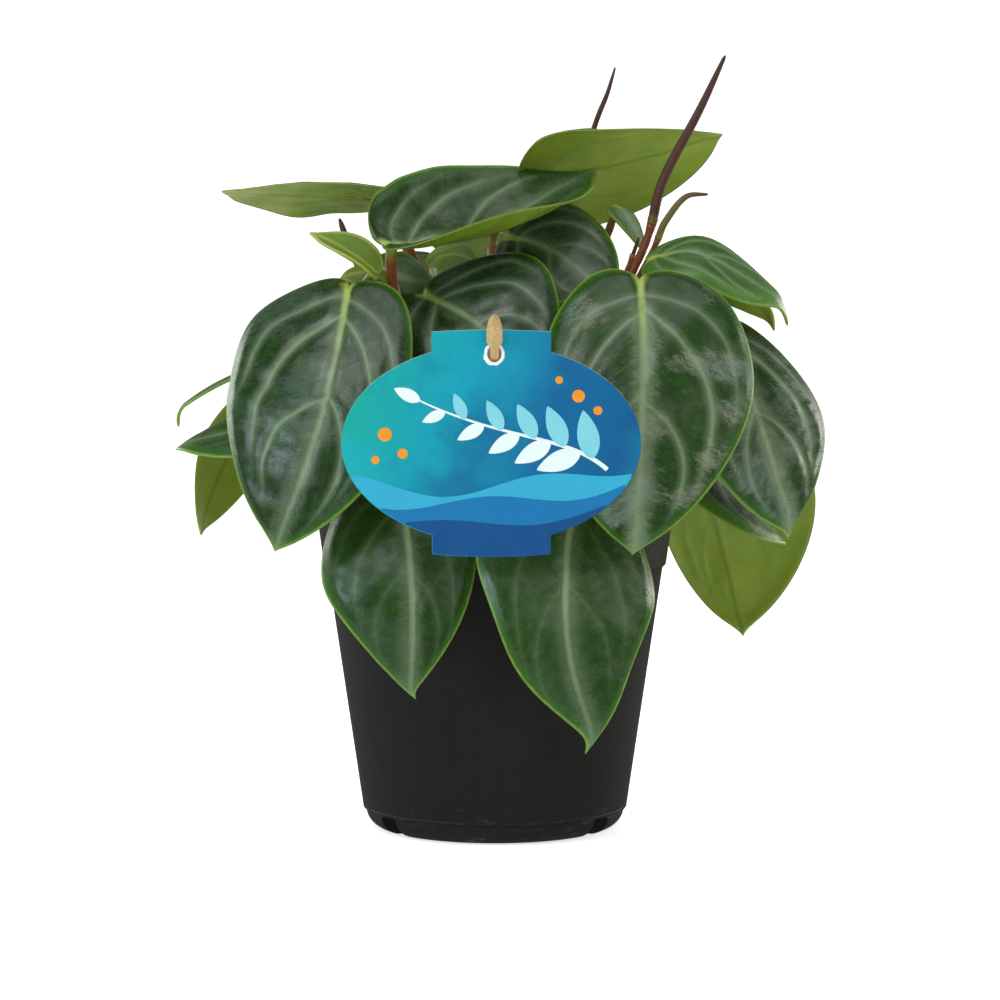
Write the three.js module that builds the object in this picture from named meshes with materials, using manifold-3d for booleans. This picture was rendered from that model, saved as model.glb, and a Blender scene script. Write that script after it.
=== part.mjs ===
// A potted peperomia with thick, heart-shaped, drooping leaves, in its round nursery pot.
//
// Millimetres, +Z up. The origin is on the pot's axis, on the surface that the pot stands on.
// -Y is the front of the plant, where the label is, and +X is its right as seen from there.

import * as THREE from 'three';
import { mergeVertices } from 'three/addons/utils/BufferGeometryUtils.js';
import Module from 'manifold-3d';

const wasm = await Module();
wasm.setup();

// ---------------------------------------------------------------- driving dimensions

const GAP = 0.3; // clearance between pieces that touch on the real plant
const BLADE_THICKNESS = 1.2; // a thick, fleshy leaf
const BLADE_ROWS = 8; // steps from the leaf's base to its tip
const BLADE_COLUMNS = 8; // steps from margin to margin
const WIDEST = 0.35; // where along a leaf its outline is widest, as a share of the outline's steps
const SMALL_LEAF = 26; // leaves no wider than this have two columns fewer
const PETIOLE_SEAT = 0.05; // where the petiole meets the leaf, as a share of the leaf's length
const PETIOLE_RADIUS = 1.8;
const SLIM_LEAF = 40; // leaves no wider than this have slimmer petioles
const SLIM_PETIOLE = 0.7; // of the full petiole's radius
const STALK_RISE = 0.38; // how strongly a stalk leaves its stem upward, as a share of its reach
const STALK_ARRIVAL = 0.28; // how long it runs straight on to its end, as a share of its reach
const STALK_FLARE = 0.15; // how much thicker it is at the stem
const STALK_STEPS = 8;
const STALK_SIDES = 6;
const STEM_SIDES = 10;
const STEM_TAPER = 0.25;
const SPIKE_STEPS = 8;
const LOBE = 0.1; // how far a leaf's lobes reach behind its base, as a share of its length
const HOOK_START = 0.86; // share of a leaf's length where its drip tip starts to hook

const POT_HEIGHT = 108;
const POT_SEGMENTS = 44;
const FOOT_RADIUS = 35.5; // outer edge of the feet where they touch down
const FOOT_INNER = 32;
const PAD_RADIUS = 10; // the foot in the middle of the base
const FLOOR_TOP = 7.6; // the pot's inside bottom
const FLOOR_UNDER = 6; // the recess under the floor
const RIDGE_Z = 7.4; // the mould's parting ridge above the feet
const RIDGE_RADIUS = 44.2;
const BAND_Z = 88; // where the rim band starts
const BAND_RADIUS = 57.4;
const RIM_RADIUS = 60;
const WALL = 1.3;
const NOTCH_ANGLES = [51.5, 128.5, 231.5, 308.5]; // degrees round from the front
const NOTCH_WIDTH = 7.6;
const NOTCH_HEIGHT = 6.6;
const DRAIN_COUNT = 8;
const DRAIN_RADIUS = 3.2;
const DRAIN_RING = 24;

const SOIL_TOP = 97;
const SOIL_CROWN = 1.5; // how much the soil's middle stands above its edge

const STEM_RADIUS = 3.4;
const STEM_DEPTH = 22; // how deep a stem stands in the soil
const HOLE_CLEARANCE = 0.35;

const LABEL_WIDTH = 93;
const LABEL_HEIGHT = 62.4; // height of the label's oval
const LABEL_TAB_WIDTH = 37;
const LABEL_TAB_TOP = 35.6; // how far each tab reaches from the label's centre
const LABEL_THICKNESS = 0.8;
const LABEL_CENTRE = [-1, -87.5, 134];
const LABEL_LEAN = THREE.MathUtils.degToRad(5); // the top leans forward
const LABEL_HOLE_WIDTH = 5.4;
const LABEL_HOLE_HEIGHT = 6.2;
const LABEL_HOLE_UP = 28.2; // the hole's centre above the label's centre

const STAKE_THICKNESS = 1.6;
const STAKE_LEAN = THREE.MathUtils.degToRad(34); // forward, over the pot's rim
const STAKE_LENGTH = 92; // from the label's hole down into the soil
const STAKE_HEAD = 14.5; // from the label's hole up to the point
const STAKE_WIDTH = 5;
const STAKE_NECK = 2.8; // width where it passes through the label
const NECK_TOP = 3.2; // how far the neck reaches above and below the middle of the hole
const NECK_BOTTOM = -6;
const BARB = 4.6; // height of the arrowhead's widest place

// Each leafy stem: where it stands and how high it rises out of the soil.
const STEMS = {
  stem_left: { x: -20, y: -16, top: 122 },
  stem_right: { x: 22, y: -14, top: 124 },
  stem_back: { x: 2, y: 14, top: 128 },
};

// Each leaf: three points of its midrib (base, middle, tip), the way its upper face looks, its
// width, how far its margins bend down (degrees, negative for a boat-shaped leaf), how far its
// tip hooks down, the stem that its petiole grows from and the height where it leaves the stem.
// skew makes the half on its right wider than the half on its left.
const LEAVES = {
  leaf_front_left: {
    rib: [[-46, -45, 180], [-54, -72, 142], [-70, -66, 99]],
    face: [-0.25, -0.92, 0.3], width: 67, cup: 24, hook: 1.5, skew: 0.18, stem: 'stem_left', from: 110,
  },
  leaf_front_right: {
    rib: [[46, -45, 185], [46, -76, 142], [44, -70, 98]],
    face: [0.1, -0.95, 0.3], width: 68, cup: 24, hook: 1.5, skew: -0.05, stem: 'stem_right', from: 112,
  },
  leaf_right: {
    rib: [[74, -18, 171], [86, -42, 137], [95, -38, 100]],
    face: [0.5, -0.85, 0.25], width: 56, cup: 20, hook: 1.5, skew: -0.14, stem: 'stem_right', from: 108,
  },
  leaf_right_low: {
    rib: [[62, -4, 137], [77, -20, 115], [96, -20, 98]],
    face: [0.35, -0.3, 0.9], width: 40, cup: 14, hook: 1, stem: 'stem_right', from: 104,
  },
  leaf_right_under: {
    rib: [[65, 17, 134], [76, 31, 98], [84, 22, 63]],
    face: [-0.2, 0.95, 0.2], width: 56, cup: 18, hook: 1, skew: 0.32, stem: 'stem_back', from: 106,
  },
  leaf_low_left: {
    rib: [[-31, -50, 122], [-26, -72, 88], [-27, -66, 52]],
    face: [-0.05, -0.98, 0.2], width: 52, cup: 24, hook: 2, skew: 0.2, stem: 'stem_left', from: 104,
  },
  leaf_low_right: {
    rib: [[27.5, -48, 120], [22, -79, 82], [28, -67, 34]],
    face: [0.2, -0.96, 0.2], width: 60, cup: 24, hook: 2, skew: -0.1, stem: 'stem_right', from: 104,
  },
  leaf_top: {
    rib: [[-32, -36, 199], [-4, -18, 201], [33.5, 12, 220]],
    face: [-0.25, -0.47, 0.84], width: 60, cup: -60, hook: 0, lobe: 0.3, stem: 'stem_left', from: 118,
  },
  leaf_top_right: {
    rib: [[10, 15, 215], [42, 19, 223], [77, 12, 232]],
    face: [-0.2, 0.55, 0.8], width: 54, cup: 16, hook: 1, stem: 'stem_back', from: 124,
  },
  leaf_top_left: {
    rib: [[-29, 14, 209], [-58, 8, 212], [-90, 2, 213]],
    face: [0.05, 0.25, 0.96], width: 46, cup: 4, hook: 0, stem: 'stem_back', from: 122,
  },
  leaf_middle: {
    rib: [[-22, -30, 180], [-3, -50, 168], [17, -58, 150]],
    face: [0.15, -0.93, 0.33], width: 62, cup: 18, hook: 1, stem: 'stem_left', from: 116,
  },
  leaf_centre_back: {
    rib: [[3, -5, 198], [21, -17, 192], [38, -28, 177]],
    face: [0.3, -0.84, 0.45], width: 48, cup: 18, hook: 1, stem: 'stem_back', from: 120,
  },
  leaf_small_right: {
    rib: [[50, -20, 190], [72, -26, 189], [97, -26, 171]],
    face: [0.1, -0.5, 0.85], width: 32, cup: 24, hook: 3, stem: 'stem_right', from: 118,
  },
  leaf_small_right_low: {
    rib: [[64, 2, 186], [80, -2, 181], [94, -4, 169]],
    face: [0.3, 0.4, 0.85], width: 24, cup: 12, hook: 2, stem: 'stem_right', from: 114,
  },
  leaf_left_dark: {
    rib: [[-61, -14, 139], [-82, -20, 135], [-105, -16, 129]],
    face: [-0.1, -0.45, 0.88], width: 32, cup: 12, hook: 1, stem: 'stem_left', from: 106,
  },
  leaf_left_under: {
    rib: [[-76, 16, 150], [-91, 26, 125], [-101, 18, 98]],
    face: [-0.7, 0.7, 0.15], width: 33, cup: 16, hook: 1, stem: 'stem_back', from: 108,
  },
  leaf_left_edge: {
    rib: [[-75, 2, 156], [-93, -2, 149], [-107, -4, 139]],
    face: [-0.5, -0.02, 0.86], width: 18, cup: 6, hook: 2, stem: 'stem_left', from: 112,
  },
  leaf_young_folded: {
    rib: [[-38, -38, 186], [-47, -40, 193], [-59, -40, 199]],
    face: [0.2, -0.6, 0.78], width: 13, cup: -60, hook: 0, stem: 'stem_left', from: 118, young: true,
  },
  leaf_young_left: {
    rib: [[-37, -26, 182], [-45, -27, 186], [-53, -28, 184]],
    face: [-0.1, -0.6, 0.8], width: 11, cup: -30, hook: 0, stem: 'stem_left', from: 115, young: true,
  },
  leaf_behind_left: {
    rib: [[-44, -2, 177], [-60, -14, 176], [-75, -20, 161]],
    face: [-0.2, -0.5, 0.85], width: 32, cup: 14, hook: 1, stem: 'stem_left', from: 113,
  },
  leaf_small_dark: {
    rib: [[-41, -6, 188], [-32, -9, 189], [-21, -12, 185]],
    face: [0.1, -0.6, 0.8], width: 16, cup: 10, hook: 0, stem: 'stem_left', from: 117,
  },
  leaf_light_behind: {
    rib: [[-22, 6, 188], [-15, 2, 192], [-6, -2, 189]],
    face: [0.1, -0.55, 0.83], width: 20, cup: 10, hook: 0, stem: 'stem_back', from: 116, young: true,
  },
  leaf_small_grey: {
    rib: [[36, 8, 209], [43, 4, 205], [50, 0, 196]],
    face: [0.5, -0.5, 0.7], width: 15, cup: 14, hook: 0, stem: 'stem_back', from: 118,
  },
  leaf_back_left: {
    rib: [[-40, 38, 176], [-55, 62, 142], [-64, 62, 102]],
    face: [-0.55, 0.8, 0.3], width: 52, cup: 22, hook: 1.5, stem: 'stem_back', from: 110,
  },
  leaf_back: {
    rib: [[2, 44, 184], [2, 76, 146], [-2, 72, 102]],
    face: [0, 0.95, 0.3], width: 58, cup: 24, hook: 1.5, stem: 'stem_back', from: 114,
  },
  leaf_back_right: {
    rib: [[49, 39, 176], [63, 60, 140], [67, 64, 102]],
    face: [0.6, 0.75, 0.3], width: 48, cup: 20, hook: 1.5, stem: 'stem_back', from: 112,
  },
  leaf_back_low_left: {
    rib: [[-23, 49, 126], [-29, 69, 88], [-32, 65, 48]],
    face: [-0.3, 0.93, 0.2], width: 52, cup: 24, hook: 2, stem: 'stem_back', from: 104,
  },
  leaf_back_low_right: {
    rib: [[22, 50, 126], [27, 72, 84], [30, 66, 44]],
    face: [0.3, 0.93, 0.2], width: 52, cup: 24, hook: 2, stem: 'stem_back', from: 104,
  },
  leaf_top_back: {
    rib: [[0, 30, 200], [-2, 54, 199], [0, 78, 182]],
    face: [0, 0.35, 0.93], width: 44, cup: 16, hook: 1, stem: 'stem_back', from: 126,
  },
  leaf_top_back_left: {
    rib: [[-20, 28, 192], [-40, 46, 186], [-60, 60, 164]],
    face: [-0.3, 0.4, 0.86], width: 40, cup: 16, hook: 1, stem: 'stem_back', from: 121,
  },
  leaf_side_right: {
    rib: [[56, 10, 174], [77, 18, 163], [95, 18, 140]],
    face: [0.55, 0.4, 0.72], width: 38, cup: 16, hook: 1, stem: 'stem_right', from: 116,
  },
  leaf_side_right_low: {
    rib: [[55, 2, 159], [72, 4, 151], [85, 5, 131]],
    face: [0.7, 0.05, 0.71], width: 28, cup: 16, hook: 1, stem: 'stem_right', from: 106,
  },
  leaf_side_left: {
    rib: [[-44, 12, 171], [-64, 17, 167], [-80, 17, 151]],
    face: [-0.55, 0.35, 0.75], width: 32, cup: 16, hook: 1, stem: 'stem_left', from: 116,
  },
};

// Each flower spike: points of its curve from its joint to its point, its radius, the stem that
// its stalk grows from and the height where the stalk leaves the stem.
const SPIKES = {
  spike_main: {
    route: [[52, -4, 202], [56, -3, 217], [68, -1, 240], [76.5, 0, 258]],
    radius: 2, stem: 'stem_right', from: 120,
  },
  spike_back: {
    route: [[29, 42, 220], [35, 42, 238], [38.6, 42, 247], [41.3, 42, 256]],
    radius: 1.5, stem: 'stem_back', from: 123,
  },
  spike_curved: {
    route: [[54, -6, 197], [56.5, -7, 203], [63, -8, 211], [70.5, -9, 212]],
    radius: 1.4, stem: 'stem_right', from: 117,
  },
  spike_bud: {
    route: [[45.5, -14, 192], [46.5, -14.5, 195], [47.5, -15, 198]],
    radius: 1.3, stem: 'stem_right', from: 114,
  },
  spike_left: {
    route: [[-49, -18, 198], [-50, -18, 201], [-51, -18, 204]],
    radius: 1.3, stem: 'stem_left', from: 112,
  },
};

// ---------------------------------------------------------------- materials

const leafGreen = new THREE.MeshStandardMaterial({ color: 0x2f5230, roughness: 0.35, metalness: 0 });
const youngGreen = new THREE.MeshStandardMaterial({ color: 0x7ea23a, roughness: 0.4, metalness: 0 });
const petioleRed = new THREE.MeshStandardMaterial({ color: 0x6e2f17, roughness: 0.45, metalness: 0 });
const spikeBrown = new THREE.MeshStandardMaterial({ color: 0x3d2722, roughness: 0.6, metalness: 0 });
const potBlack = new THREE.MeshStandardMaterial({ color: 0x2a2927, roughness: 0.55, metalness: 0 });
const soilBrown = new THREE.MeshStandardMaterial({ color: 0x2b1f17, roughness: 0.95, metalness: 0 });
const labelBlue = new THREE.MeshStandardMaterial({ color: 0x0f8fb4, roughness: 0.4, metalness: 0 });
const woodPale = new THREE.MeshStandardMaterial({ color: 0xd8b67a, roughness: 0.7, metalness: 0 });

// ---------------------------------------------------------------- solids and surfaces

// A closed surface from its points and triangles.
function closedGeometry(points, triangles) {
  const geometry = new THREE.BufferGeometry();
  const coordinates = points.flatMap((point) => point.toArray());
  geometry.setAttribute('position', new THREE.Float32BufferAttribute(coordinates, 3));
  geometry.setIndex(triangles.flat());
  geometry.computeVertexNormals();
  return geometry;
}

// A geometry as a solid that can be joined or cut.
function toSolid(geometry) {
  const bare = geometry.clone();
  bare.deleteAttribute('normal');
  bare.deleteAttribute('uv');
  const merged = mergeVertices(bare, 1e-4);
  const mesh = new wasm.Mesh({
    numProp: 3,
    vertProperties: new Float32Array(merged.attributes.position.array),
    triVerts: new Uint32Array(merged.index.array),
  });
  return new wasm.Manifold(mesh);
}

// A solid as a geometry.
function toGeometry(solid) {
  const mesh = solid.getMesh();
  const geometry = new THREE.BufferGeometry();
  geometry.setAttribute('position', new THREE.BufferAttribute(new Float32Array(mesh.vertProperties), 3));
  geometry.setIndex(new THREE.BufferAttribute(new Uint32Array(mesh.triVerts), 1));
  geometry.computeVertexNormals();
  return geometry;
}

// A round tube along a curve, closed at both ends, with its radius given as a function of the
// share of the curve's length.
function taperedTube(curve, radiusAt, steps, sides) {
  const frames = curve.computeFrenetFrames(steps, false);
  const points = [];
  for (let i = 0; i <= steps; i++) {
    const centre = curve.getPointAt(i / steps);
    const radius = radiusAt(i / steps);
    for (let j = 0; j < sides; j++) {
      const angle = (2 * Math.PI * j) / sides;
      const point = centre.clone();
      point.addScaledVector(frames.normals[i], radius * Math.cos(angle));
      point.addScaledVector(frames.binormals[i], radius * Math.sin(angle));
      points.push(point);
    }
  }
  const start = points.push(curve.getPointAt(0)) - 1;
  const end = points.push(curve.getPointAt(1)) - 1;
  const triangles = [];
  for (let j = 0; j < sides; j++) {
    const next = (j + 1) % sides;
    for (let i = 0; i < steps; i++) {
      const near = i * sides;
      const far = near + sides;
      triangles.push([near + j, near + next, far + next]);
      triangles.push([near + j, far + next, far + j]);
    }
    triangles.push([start, next, j]);
    triangles.push([end, steps * sides + j, steps * sides + next]);
  }
  return closedGeometry(points, triangles);
}

// ---------------------------------------------------------------- leaves

// Half of a leaf's outline, laid flat: x runs from base to tip in leaf lengths, y from the
// midrib to the margin in half widths. One curve rounds the basal lobe, the next one tapers.
function outlineAt(share, lobe) {
  const base = new THREE.Vector2(0, 0);
  const back = new THREE.Vector2(-lobe, 0.25);
  const shoulder = new THREE.Vector2(-0.02, 1);
  const widest = new THREE.Vector2(0.37, 1);
  const full = new THREE.Vector2(0.62, 1);
  const slim = new THREE.Vector2(0.87, 0.33);
  const tip = new THREE.Vector2(1, 0);
  if (share <= WIDEST) {
    return new THREE.CubicBezierCurve(base, back, shoulder, widest).getPoint(share / WIDEST);
  }
  return new THREE.CubicBezierCurve(widest, full, slim, tip).getPoint((share - WIDEST) / (1 - WIDEST));
}

// A leaf's middle surface. point(u, v) bends the flat leaf: u runs along the midrib, a curve
// through its three points, and v from margin to margin, an arc that bends the margins down.
function leafSurface({ rib, face, width, cup, hook, skew = 0 }) {
  const [base, middle, tip] = rib.map((place) => new THREE.Vector3(...place));
  const control = middle.clone().multiplyScalar(2).addScaledVector(base, -0.5).addScaledVector(tip, -0.5);
  const facing = new THREE.Vector3(...face).normalize();
  const half = width / 2;
  const curl = THREE.MathUtils.degToRad(cup) / half;

  function frameAt(u) {
    const along = control.clone().sub(base).multiplyScalar(1 - u);
    along.addScaledVector(tip, u).addScaledVector(control, -u).normalize();
    const across = along.clone().cross(facing).normalize();
    return { across, up: across.clone().cross(along) };
  }

  function point(u, v) {
    const place = base.clone().multiplyScalar((1 - u) ** 2);
    place.addScaledVector(control, 2 * u * (1 - u)).addScaledVector(tip, u * u);
    const { across, up } = frameAt(u);
    const angle = curl * v * half * (1 + skew * Math.sign(v));
    const droop = hook * (Math.max(0, u - HOOK_START) / (1 - HOOK_START)) ** 2;
    place.addScaledVector(across, Math.sin(angle) / curl);
    return place.addScaledVector(up, -(1 - Math.cos(angle)) / curl - droop);
  }

  function normal(u, v) {
    const step = 0.01;
    const alongU = point(u + step, v).sub(point(u - step, v));
    const alongV = point(u, v + step).sub(point(u, v - step));
    return alongV.cross(alongU).normalize();
  }

  return { point, normal };
}

// A leaf as one closed blade: both faces on the same grid, joined round the margin.
function leafGeometry(leaf) {
  const surface = leafSurface(leaf);
  const columns = leaf.width > SMALL_LEAF ? BLADE_COLUMNS : BLADE_COLUMNS - 2;
  const upper = [];
  const lower = [];
  const index = [];
  for (let i = 0; i <= BLADE_ROWS; i++) {
    const share = i / BLADE_ROWS;
    const edge = outlineAt(share, leaf.lobe ?? LOBE);
    const isPole = i === 0 || i === BLADE_ROWS;
    index.push([]);
    for (let j = 0; j <= columns; j++) {
      if (isPole && j > 0) {
        index[i].push(index[i][0]);
        continue;
      }
      const side = isPole ? 0 : (2 * j) / columns - 1;
      const u = share + (edge.x - share) * Math.abs(side);
      const v = edge.y * side;
      const offset = surface.normal(u, v).multiplyScalar(BLADE_THICKNESS / 2);
      index[i].push(upper.length);
      upper.push(surface.point(u, v).add(offset));
      lower.push(surface.point(u, v).sub(offset));
    }
  }
  const under = upper.length;
  const triangles = [];
  function addTriangle(a, b, c) {
    if (a !== b && b !== c && c !== a) {
      triangles.push([a, b, c]);
    }
  }
  for (let i = 0; i < BLADE_ROWS; i++) {
    for (let j = 0; j < columns; j++) {
      const [a, b] = [index[i][j], index[i][j + 1]];
      const [d, c] = [index[i + 1][j], index[i + 1][j + 1]];
      addTriangle(a, b, c);
      addTriangle(a, c, d);
      addTriangle(under + a, under + c, under + b);
      addTriangle(under + a, under + d, under + c);
    }
    const [right, nextRight] = [index[i][columns], index[i + 1][columns]];
    triangles.push([right, under + right, under + nextRight], [right, under + nextRight, nextRight]);
    const [left, nextLeft] = [index[i][0], index[i + 1][0]];
    triangles.push([left, under + nextLeft, under + left], [left, nextLeft, under + nextLeft]);
  }
  return closedGeometry([...upper, ...lower], triangles);
}

// ---------------------------------------------------------------- stems and flower spikes

// A stalk from a stem to a flat end that faces the way it arrives. It leaves the stem upward.
function stalk(stem, from, end, arriving, thickness) {
  const start = new THREE.Vector3(stem.x, stem.y, from);
  const reach = start.distanceTo(end);
  const first = start.clone().lerp(end, 0.12);
  first.z += STALK_RISE * reach;
  const last = end.clone().addScaledVector(arriving, -STALK_ARRIVAL * reach);
  const curve = new THREE.CubicBezierCurve3(start, first, last, end);
  const radiusAt = (share) => thickness * (1 + STALK_FLARE * (1 - share));
  return toSolid(taperedTube(curve, radiusAt, STALK_STEPS, STALK_SIDES));
}

// A leafy stem in one piece: the stem, the petioles of its leaves and the stalks of its spikes.
function stemGeometry(name, stem) {
  const foot = new THREE.Vector3(stem.x, stem.y, SOIL_TOP - STEM_DEPTH);
  const head = new THREE.Vector3(stem.x, stem.y, stem.top);
  const line = new THREE.LineCurve3(foot, head);
  let solid = toSolid(taperedTube(line, (share) => STEM_RADIUS * (1 - STEM_TAPER * share), 2, STEM_SIDES));
  for (const leaf of Object.values(LEAVES)) {
    if (leaf.stem === name) {
      const surface = leafSurface(leaf);
      const up = surface.normal(PETIOLE_SEAT, 0);
      const end = surface.point(PETIOLE_SEAT, 0).addScaledVector(up, -BLADE_THICKNESS / 2 - GAP);
      const thickness = PETIOLE_RADIUS * (leaf.width > SLIM_LEAF ? 1 : SLIM_PETIOLE);
      solid = solid.add(stalk(stem, leaf.from, end, up, thickness));
    }
  }
  for (const spike of Object.values(SPIKES)) {
    if (spike.stem === name) {
      const [low, next] = spike.route.map((place) => new THREE.Vector3(...place));
      const arriving = next.clone().sub(low).normalize();
      const end = low.clone().addScaledVector(arriving, -GAP);
      solid = solid.add(stalk(stem, spike.from, end, arriving, spike.radius * 0.8));
    }
  }
  return toGeometry(solid);
}

// A flower spike: a slim rod that tapers to a blunt point.
function spikeGeometry({ route, radius }) {
  const curve = new THREE.CatmullRomCurve3(route.map((place) => new THREE.Vector3(...place)));
  const radiusAt = (share) => radius * (1 - 0.75 * share ** 3);
  return taperedTube(curve, radiusAt, SPIKE_STEPS, STALK_SIDES);
}

// ---------------------------------------------------------------- pot and soil

// The pot's inner radius at a height above its floor's corner.
function innerRadius(z) {
  if (z >= BAND_Z + 2) {
    return THREE.MathUtils.mapLinear(z, BAND_Z, POT_HEIGHT, BAND_RADIUS, RIM_RADIUS) - WALL;
  }
  return THREE.MathUtils.mapLinear(z, RIDGE_Z, BAND_Z, RIDGE_RADIUS, BAND_RADIUS - 1.2) - WALL;
}

function latheOf(profile) {
  const points = profile.map(([radius, z]) => new THREE.Vector2(radius, z));
  const geometry = new THREE.LatheGeometry(points, POT_SEGMENTS);
  geometry.rotateX(Math.PI / 2);
  return geometry;
}

function uprightCylinder(radius, height, sides) {
  const geometry = new THREE.CylinderGeometry(radius, radius, height, sides);
  geometry.rotateX(Math.PI / 2);
  return geometry;
}

// The quarter-round bottom corner of the pot, as steps from the foot out and up to the ridge.
function roundedCorner(fromRadius, toRadius, height, steps) {
  const points = [];
  for (let i = 1; i <= steps; i++) {
    const angle = (i / steps) * (Math.PI / 2);
    const out = fromRadius + (toRadius - fromRadius) * Math.sin(angle);
    points.push([out, height * (1 - Math.cos(angle))]);
  }
  return points;
}

function potGeometry() {
  const profile = [
    [0, 0], [PAD_RADIUS, 0], [PAD_RADIUS + 0.8, FLOOR_UNDER], [FOOT_INNER - 0.6, FLOOR_UNDER],
    [FOOT_INNER, 0], [FOOT_RADIUS, 0],
    ...roundedCorner(FOOT_RADIUS, RIDGE_RADIUS - 0.9, RIDGE_Z - 0.8, 4),
    [RIDGE_RADIUS, RIDGE_Z - 0.3], [RIDGE_RADIUS + 0.2, RIDGE_Z + 0.6],
    [BAND_RADIUS - 1.2, BAND_Z], [BAND_RADIUS, BAND_Z + 1.2],
    [RIM_RADIUS - 0.2, POT_HEIGHT - 1.2], [RIM_RADIUS - 0.6, POT_HEIGHT],
    [RIM_RADIUS - WALL, POT_HEIGHT], [innerRadius(BAND_Z + 3), BAND_Z + 3],
    [innerRadius(BAND_Z), BAND_Z], [innerRadius(FLOOR_TOP + 3), FLOOR_TOP + 3],
    [innerRadius(FLOOR_TOP) - 1.5, FLOOR_TOP], [0, FLOOR_TOP],
  ];
  let solid = toSolid(latheOf(profile));
  for (const degrees of NOTCH_ANGLES) {
    const notch = new THREE.BoxGeometry(NOTCH_WIDTH, 16, 2 * NOTCH_HEIGHT);
    notch.translate(0, -FOOT_RADIUS - 2, 0);
    notch.rotateZ(THREE.MathUtils.degToRad(degrees));
    solid = solid.subtract(toSolid(notch));
  }
  for (let i = 0; i < DRAIN_COUNT; i++) {
    const drain = uprightCylinder(DRAIN_RADIUS, 4 * FLOOR_TOP, 10);
    drain.translate(DRAIN_RING, 0, 0);
    drain.rotateZ((i * 2 * Math.PI) / DRAIN_COUNT);
    solid = solid.subtract(toSolid(drain));
  }
  return toGeometry(solid);
}

function soilGeometry() {
  const floor = FLOOR_TOP + GAP;
  const edge = innerRadius(SOIL_TOP) - GAP - 0.2;
  const profile = [
    [0, floor], [innerRadius(floor) - 2.4, floor], [innerRadius(floor + 4) - GAP - 0.2, floor + 4],
    [innerRadius(BAND_Z) - GAP - 0.2, BAND_Z], [innerRadius(BAND_Z + 3) - GAP - 0.2, BAND_Z + 3],
    [edge, SOIL_TOP], [edge * 0.55, SOIL_TOP + SOIL_CROWN * 0.7], [0, SOIL_TOP + SOIL_CROWN],
  ];
  let solid = toSolid(latheOf(profile));
  for (const stem of Object.values(STEMS)) {
    const hole = uprightCylinder(STEM_RADIUS + HOLE_CLEARANCE, 2 * STEM_DEPTH, 12);
    hole.translate(stem.x, stem.y, SOIL_TOP - HOLE_CLEARANCE);
    solid = solid.subtract(toSolid(hole));
  }
  return toGeometry(solid.subtract(toSolid(placedStake(HOLE_CLEARANCE))));
}

// ---------------------------------------------------------------- label and its stake

// The label: an oval card with a square tab above and below, and a hole for the stake.
function labelGeometry() {
  const a = LABEL_WIDTH / 2;
  const b = LABEL_HEIGHT / 2;
  const tab = LABEL_TAB_WIDTH / 2;
  const shoulder = Math.acos(tab / a);
  const outline = new THREE.Shape();
  outline.absellipse(0, 0, a, b, -shoulder, shoulder, false);
  outline.lineTo(tab, LABEL_TAB_TOP - 0.6);
  outline.quadraticCurveTo(0, LABEL_TAB_TOP + 0.6, -tab, LABEL_TAB_TOP - 0.6);
  outline.absellipse(0, 0, a, b, Math.PI - shoulder, Math.PI + shoulder, false);
  outline.lineTo(-tab, -LABEL_TAB_TOP);
  outline.lineTo(tab, -LABEL_TAB_TOP);
  const hole = new THREE.Path();
  const [holeWide, holeHigh] = [LABEL_HOLE_WIDTH / 2, LABEL_HOLE_HEIGHT / 2];
  hole.absellipse(-LABEL_CENTRE[0], LABEL_HOLE_UP, holeWide, holeHigh, 0, 2 * Math.PI);
  outline.holes.push(hole);
  const card = { depth: LABEL_THICKNESS, bevelEnabled: false, curveSegments: 12 };
  const geometry = new THREE.ExtrudeGeometry(outline, card);
  geometry.translate(0, 0, -LABEL_THICKNESS / 2);
  geometry.rotateX(Math.PI / 2 + LABEL_LEAN);
  geometry.translate(...LABEL_CENTRE);
  return geometry;
}

// The stake, a flat wooden arrow whose neck passes through the label's hole. With a clearance it
// is the hole that the stake needs.
function placedStake(clearance) {
  const half = STAKE_WIDTH / 2 + clearance;
  const neck = STAKE_NECK / 2 + clearance;
  const outline = new THREE.Shape();
  outline.moveTo(-half, -STAKE_LENGTH - clearance);
  outline.lineTo(half, -STAKE_LENGTH - clearance);
  outline.lineTo(half, NECK_BOTTOM - 3);
  outline.lineTo(neck, NECK_BOTTOM);
  outline.lineTo(neck, NECK_TOP);
  outline.lineTo(half, BARB);
  outline.quadraticCurveTo(half, 2 * BARB, 0.5, STAKE_HEAD);
  outline.lineTo(-0.5, STAKE_HEAD);
  outline.quadraticCurveTo(-half, 2 * BARB, -half, BARB);
  outline.lineTo(-neck, NECK_TOP);
  outline.lineTo(-neck, NECK_BOTTOM);
  outline.lineTo(-half, NECK_BOTTOM - 3);
  const thickness = STAKE_THICKNESS + 2 * clearance;
  const bar = { depth: thickness, bevelEnabled: false, curveSegments: 5 };
  const geometry = new THREE.ExtrudeGeometry(outline, bar);
  geometry.translate(0, 0, -thickness / 2);
  geometry.rotateX(Math.PI / 2 + STAKE_LEAN);
  const holeAt = new THREE.Vector3(-LABEL_CENTRE[0], LABEL_HOLE_UP, 0);
  holeAt.applyAxisAngle(new THREE.Vector3(1, 0, 0), Math.PI / 2 + LABEL_LEAN);
  holeAt.add(new THREE.Vector3(...LABEL_CENTRE));
  geometry.translate(holeAt.x, holeAt.y, holeAt.z);
  return geometry;
}

// ---------------------------------------------------------------- the plant, put together

const plant = new THREE.Group();

function addPiece(name, geometry, material) {
  const mesh = new THREE.Mesh(geometry, material);
  mesh.name = name;
  plant.add(mesh);
}

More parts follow.
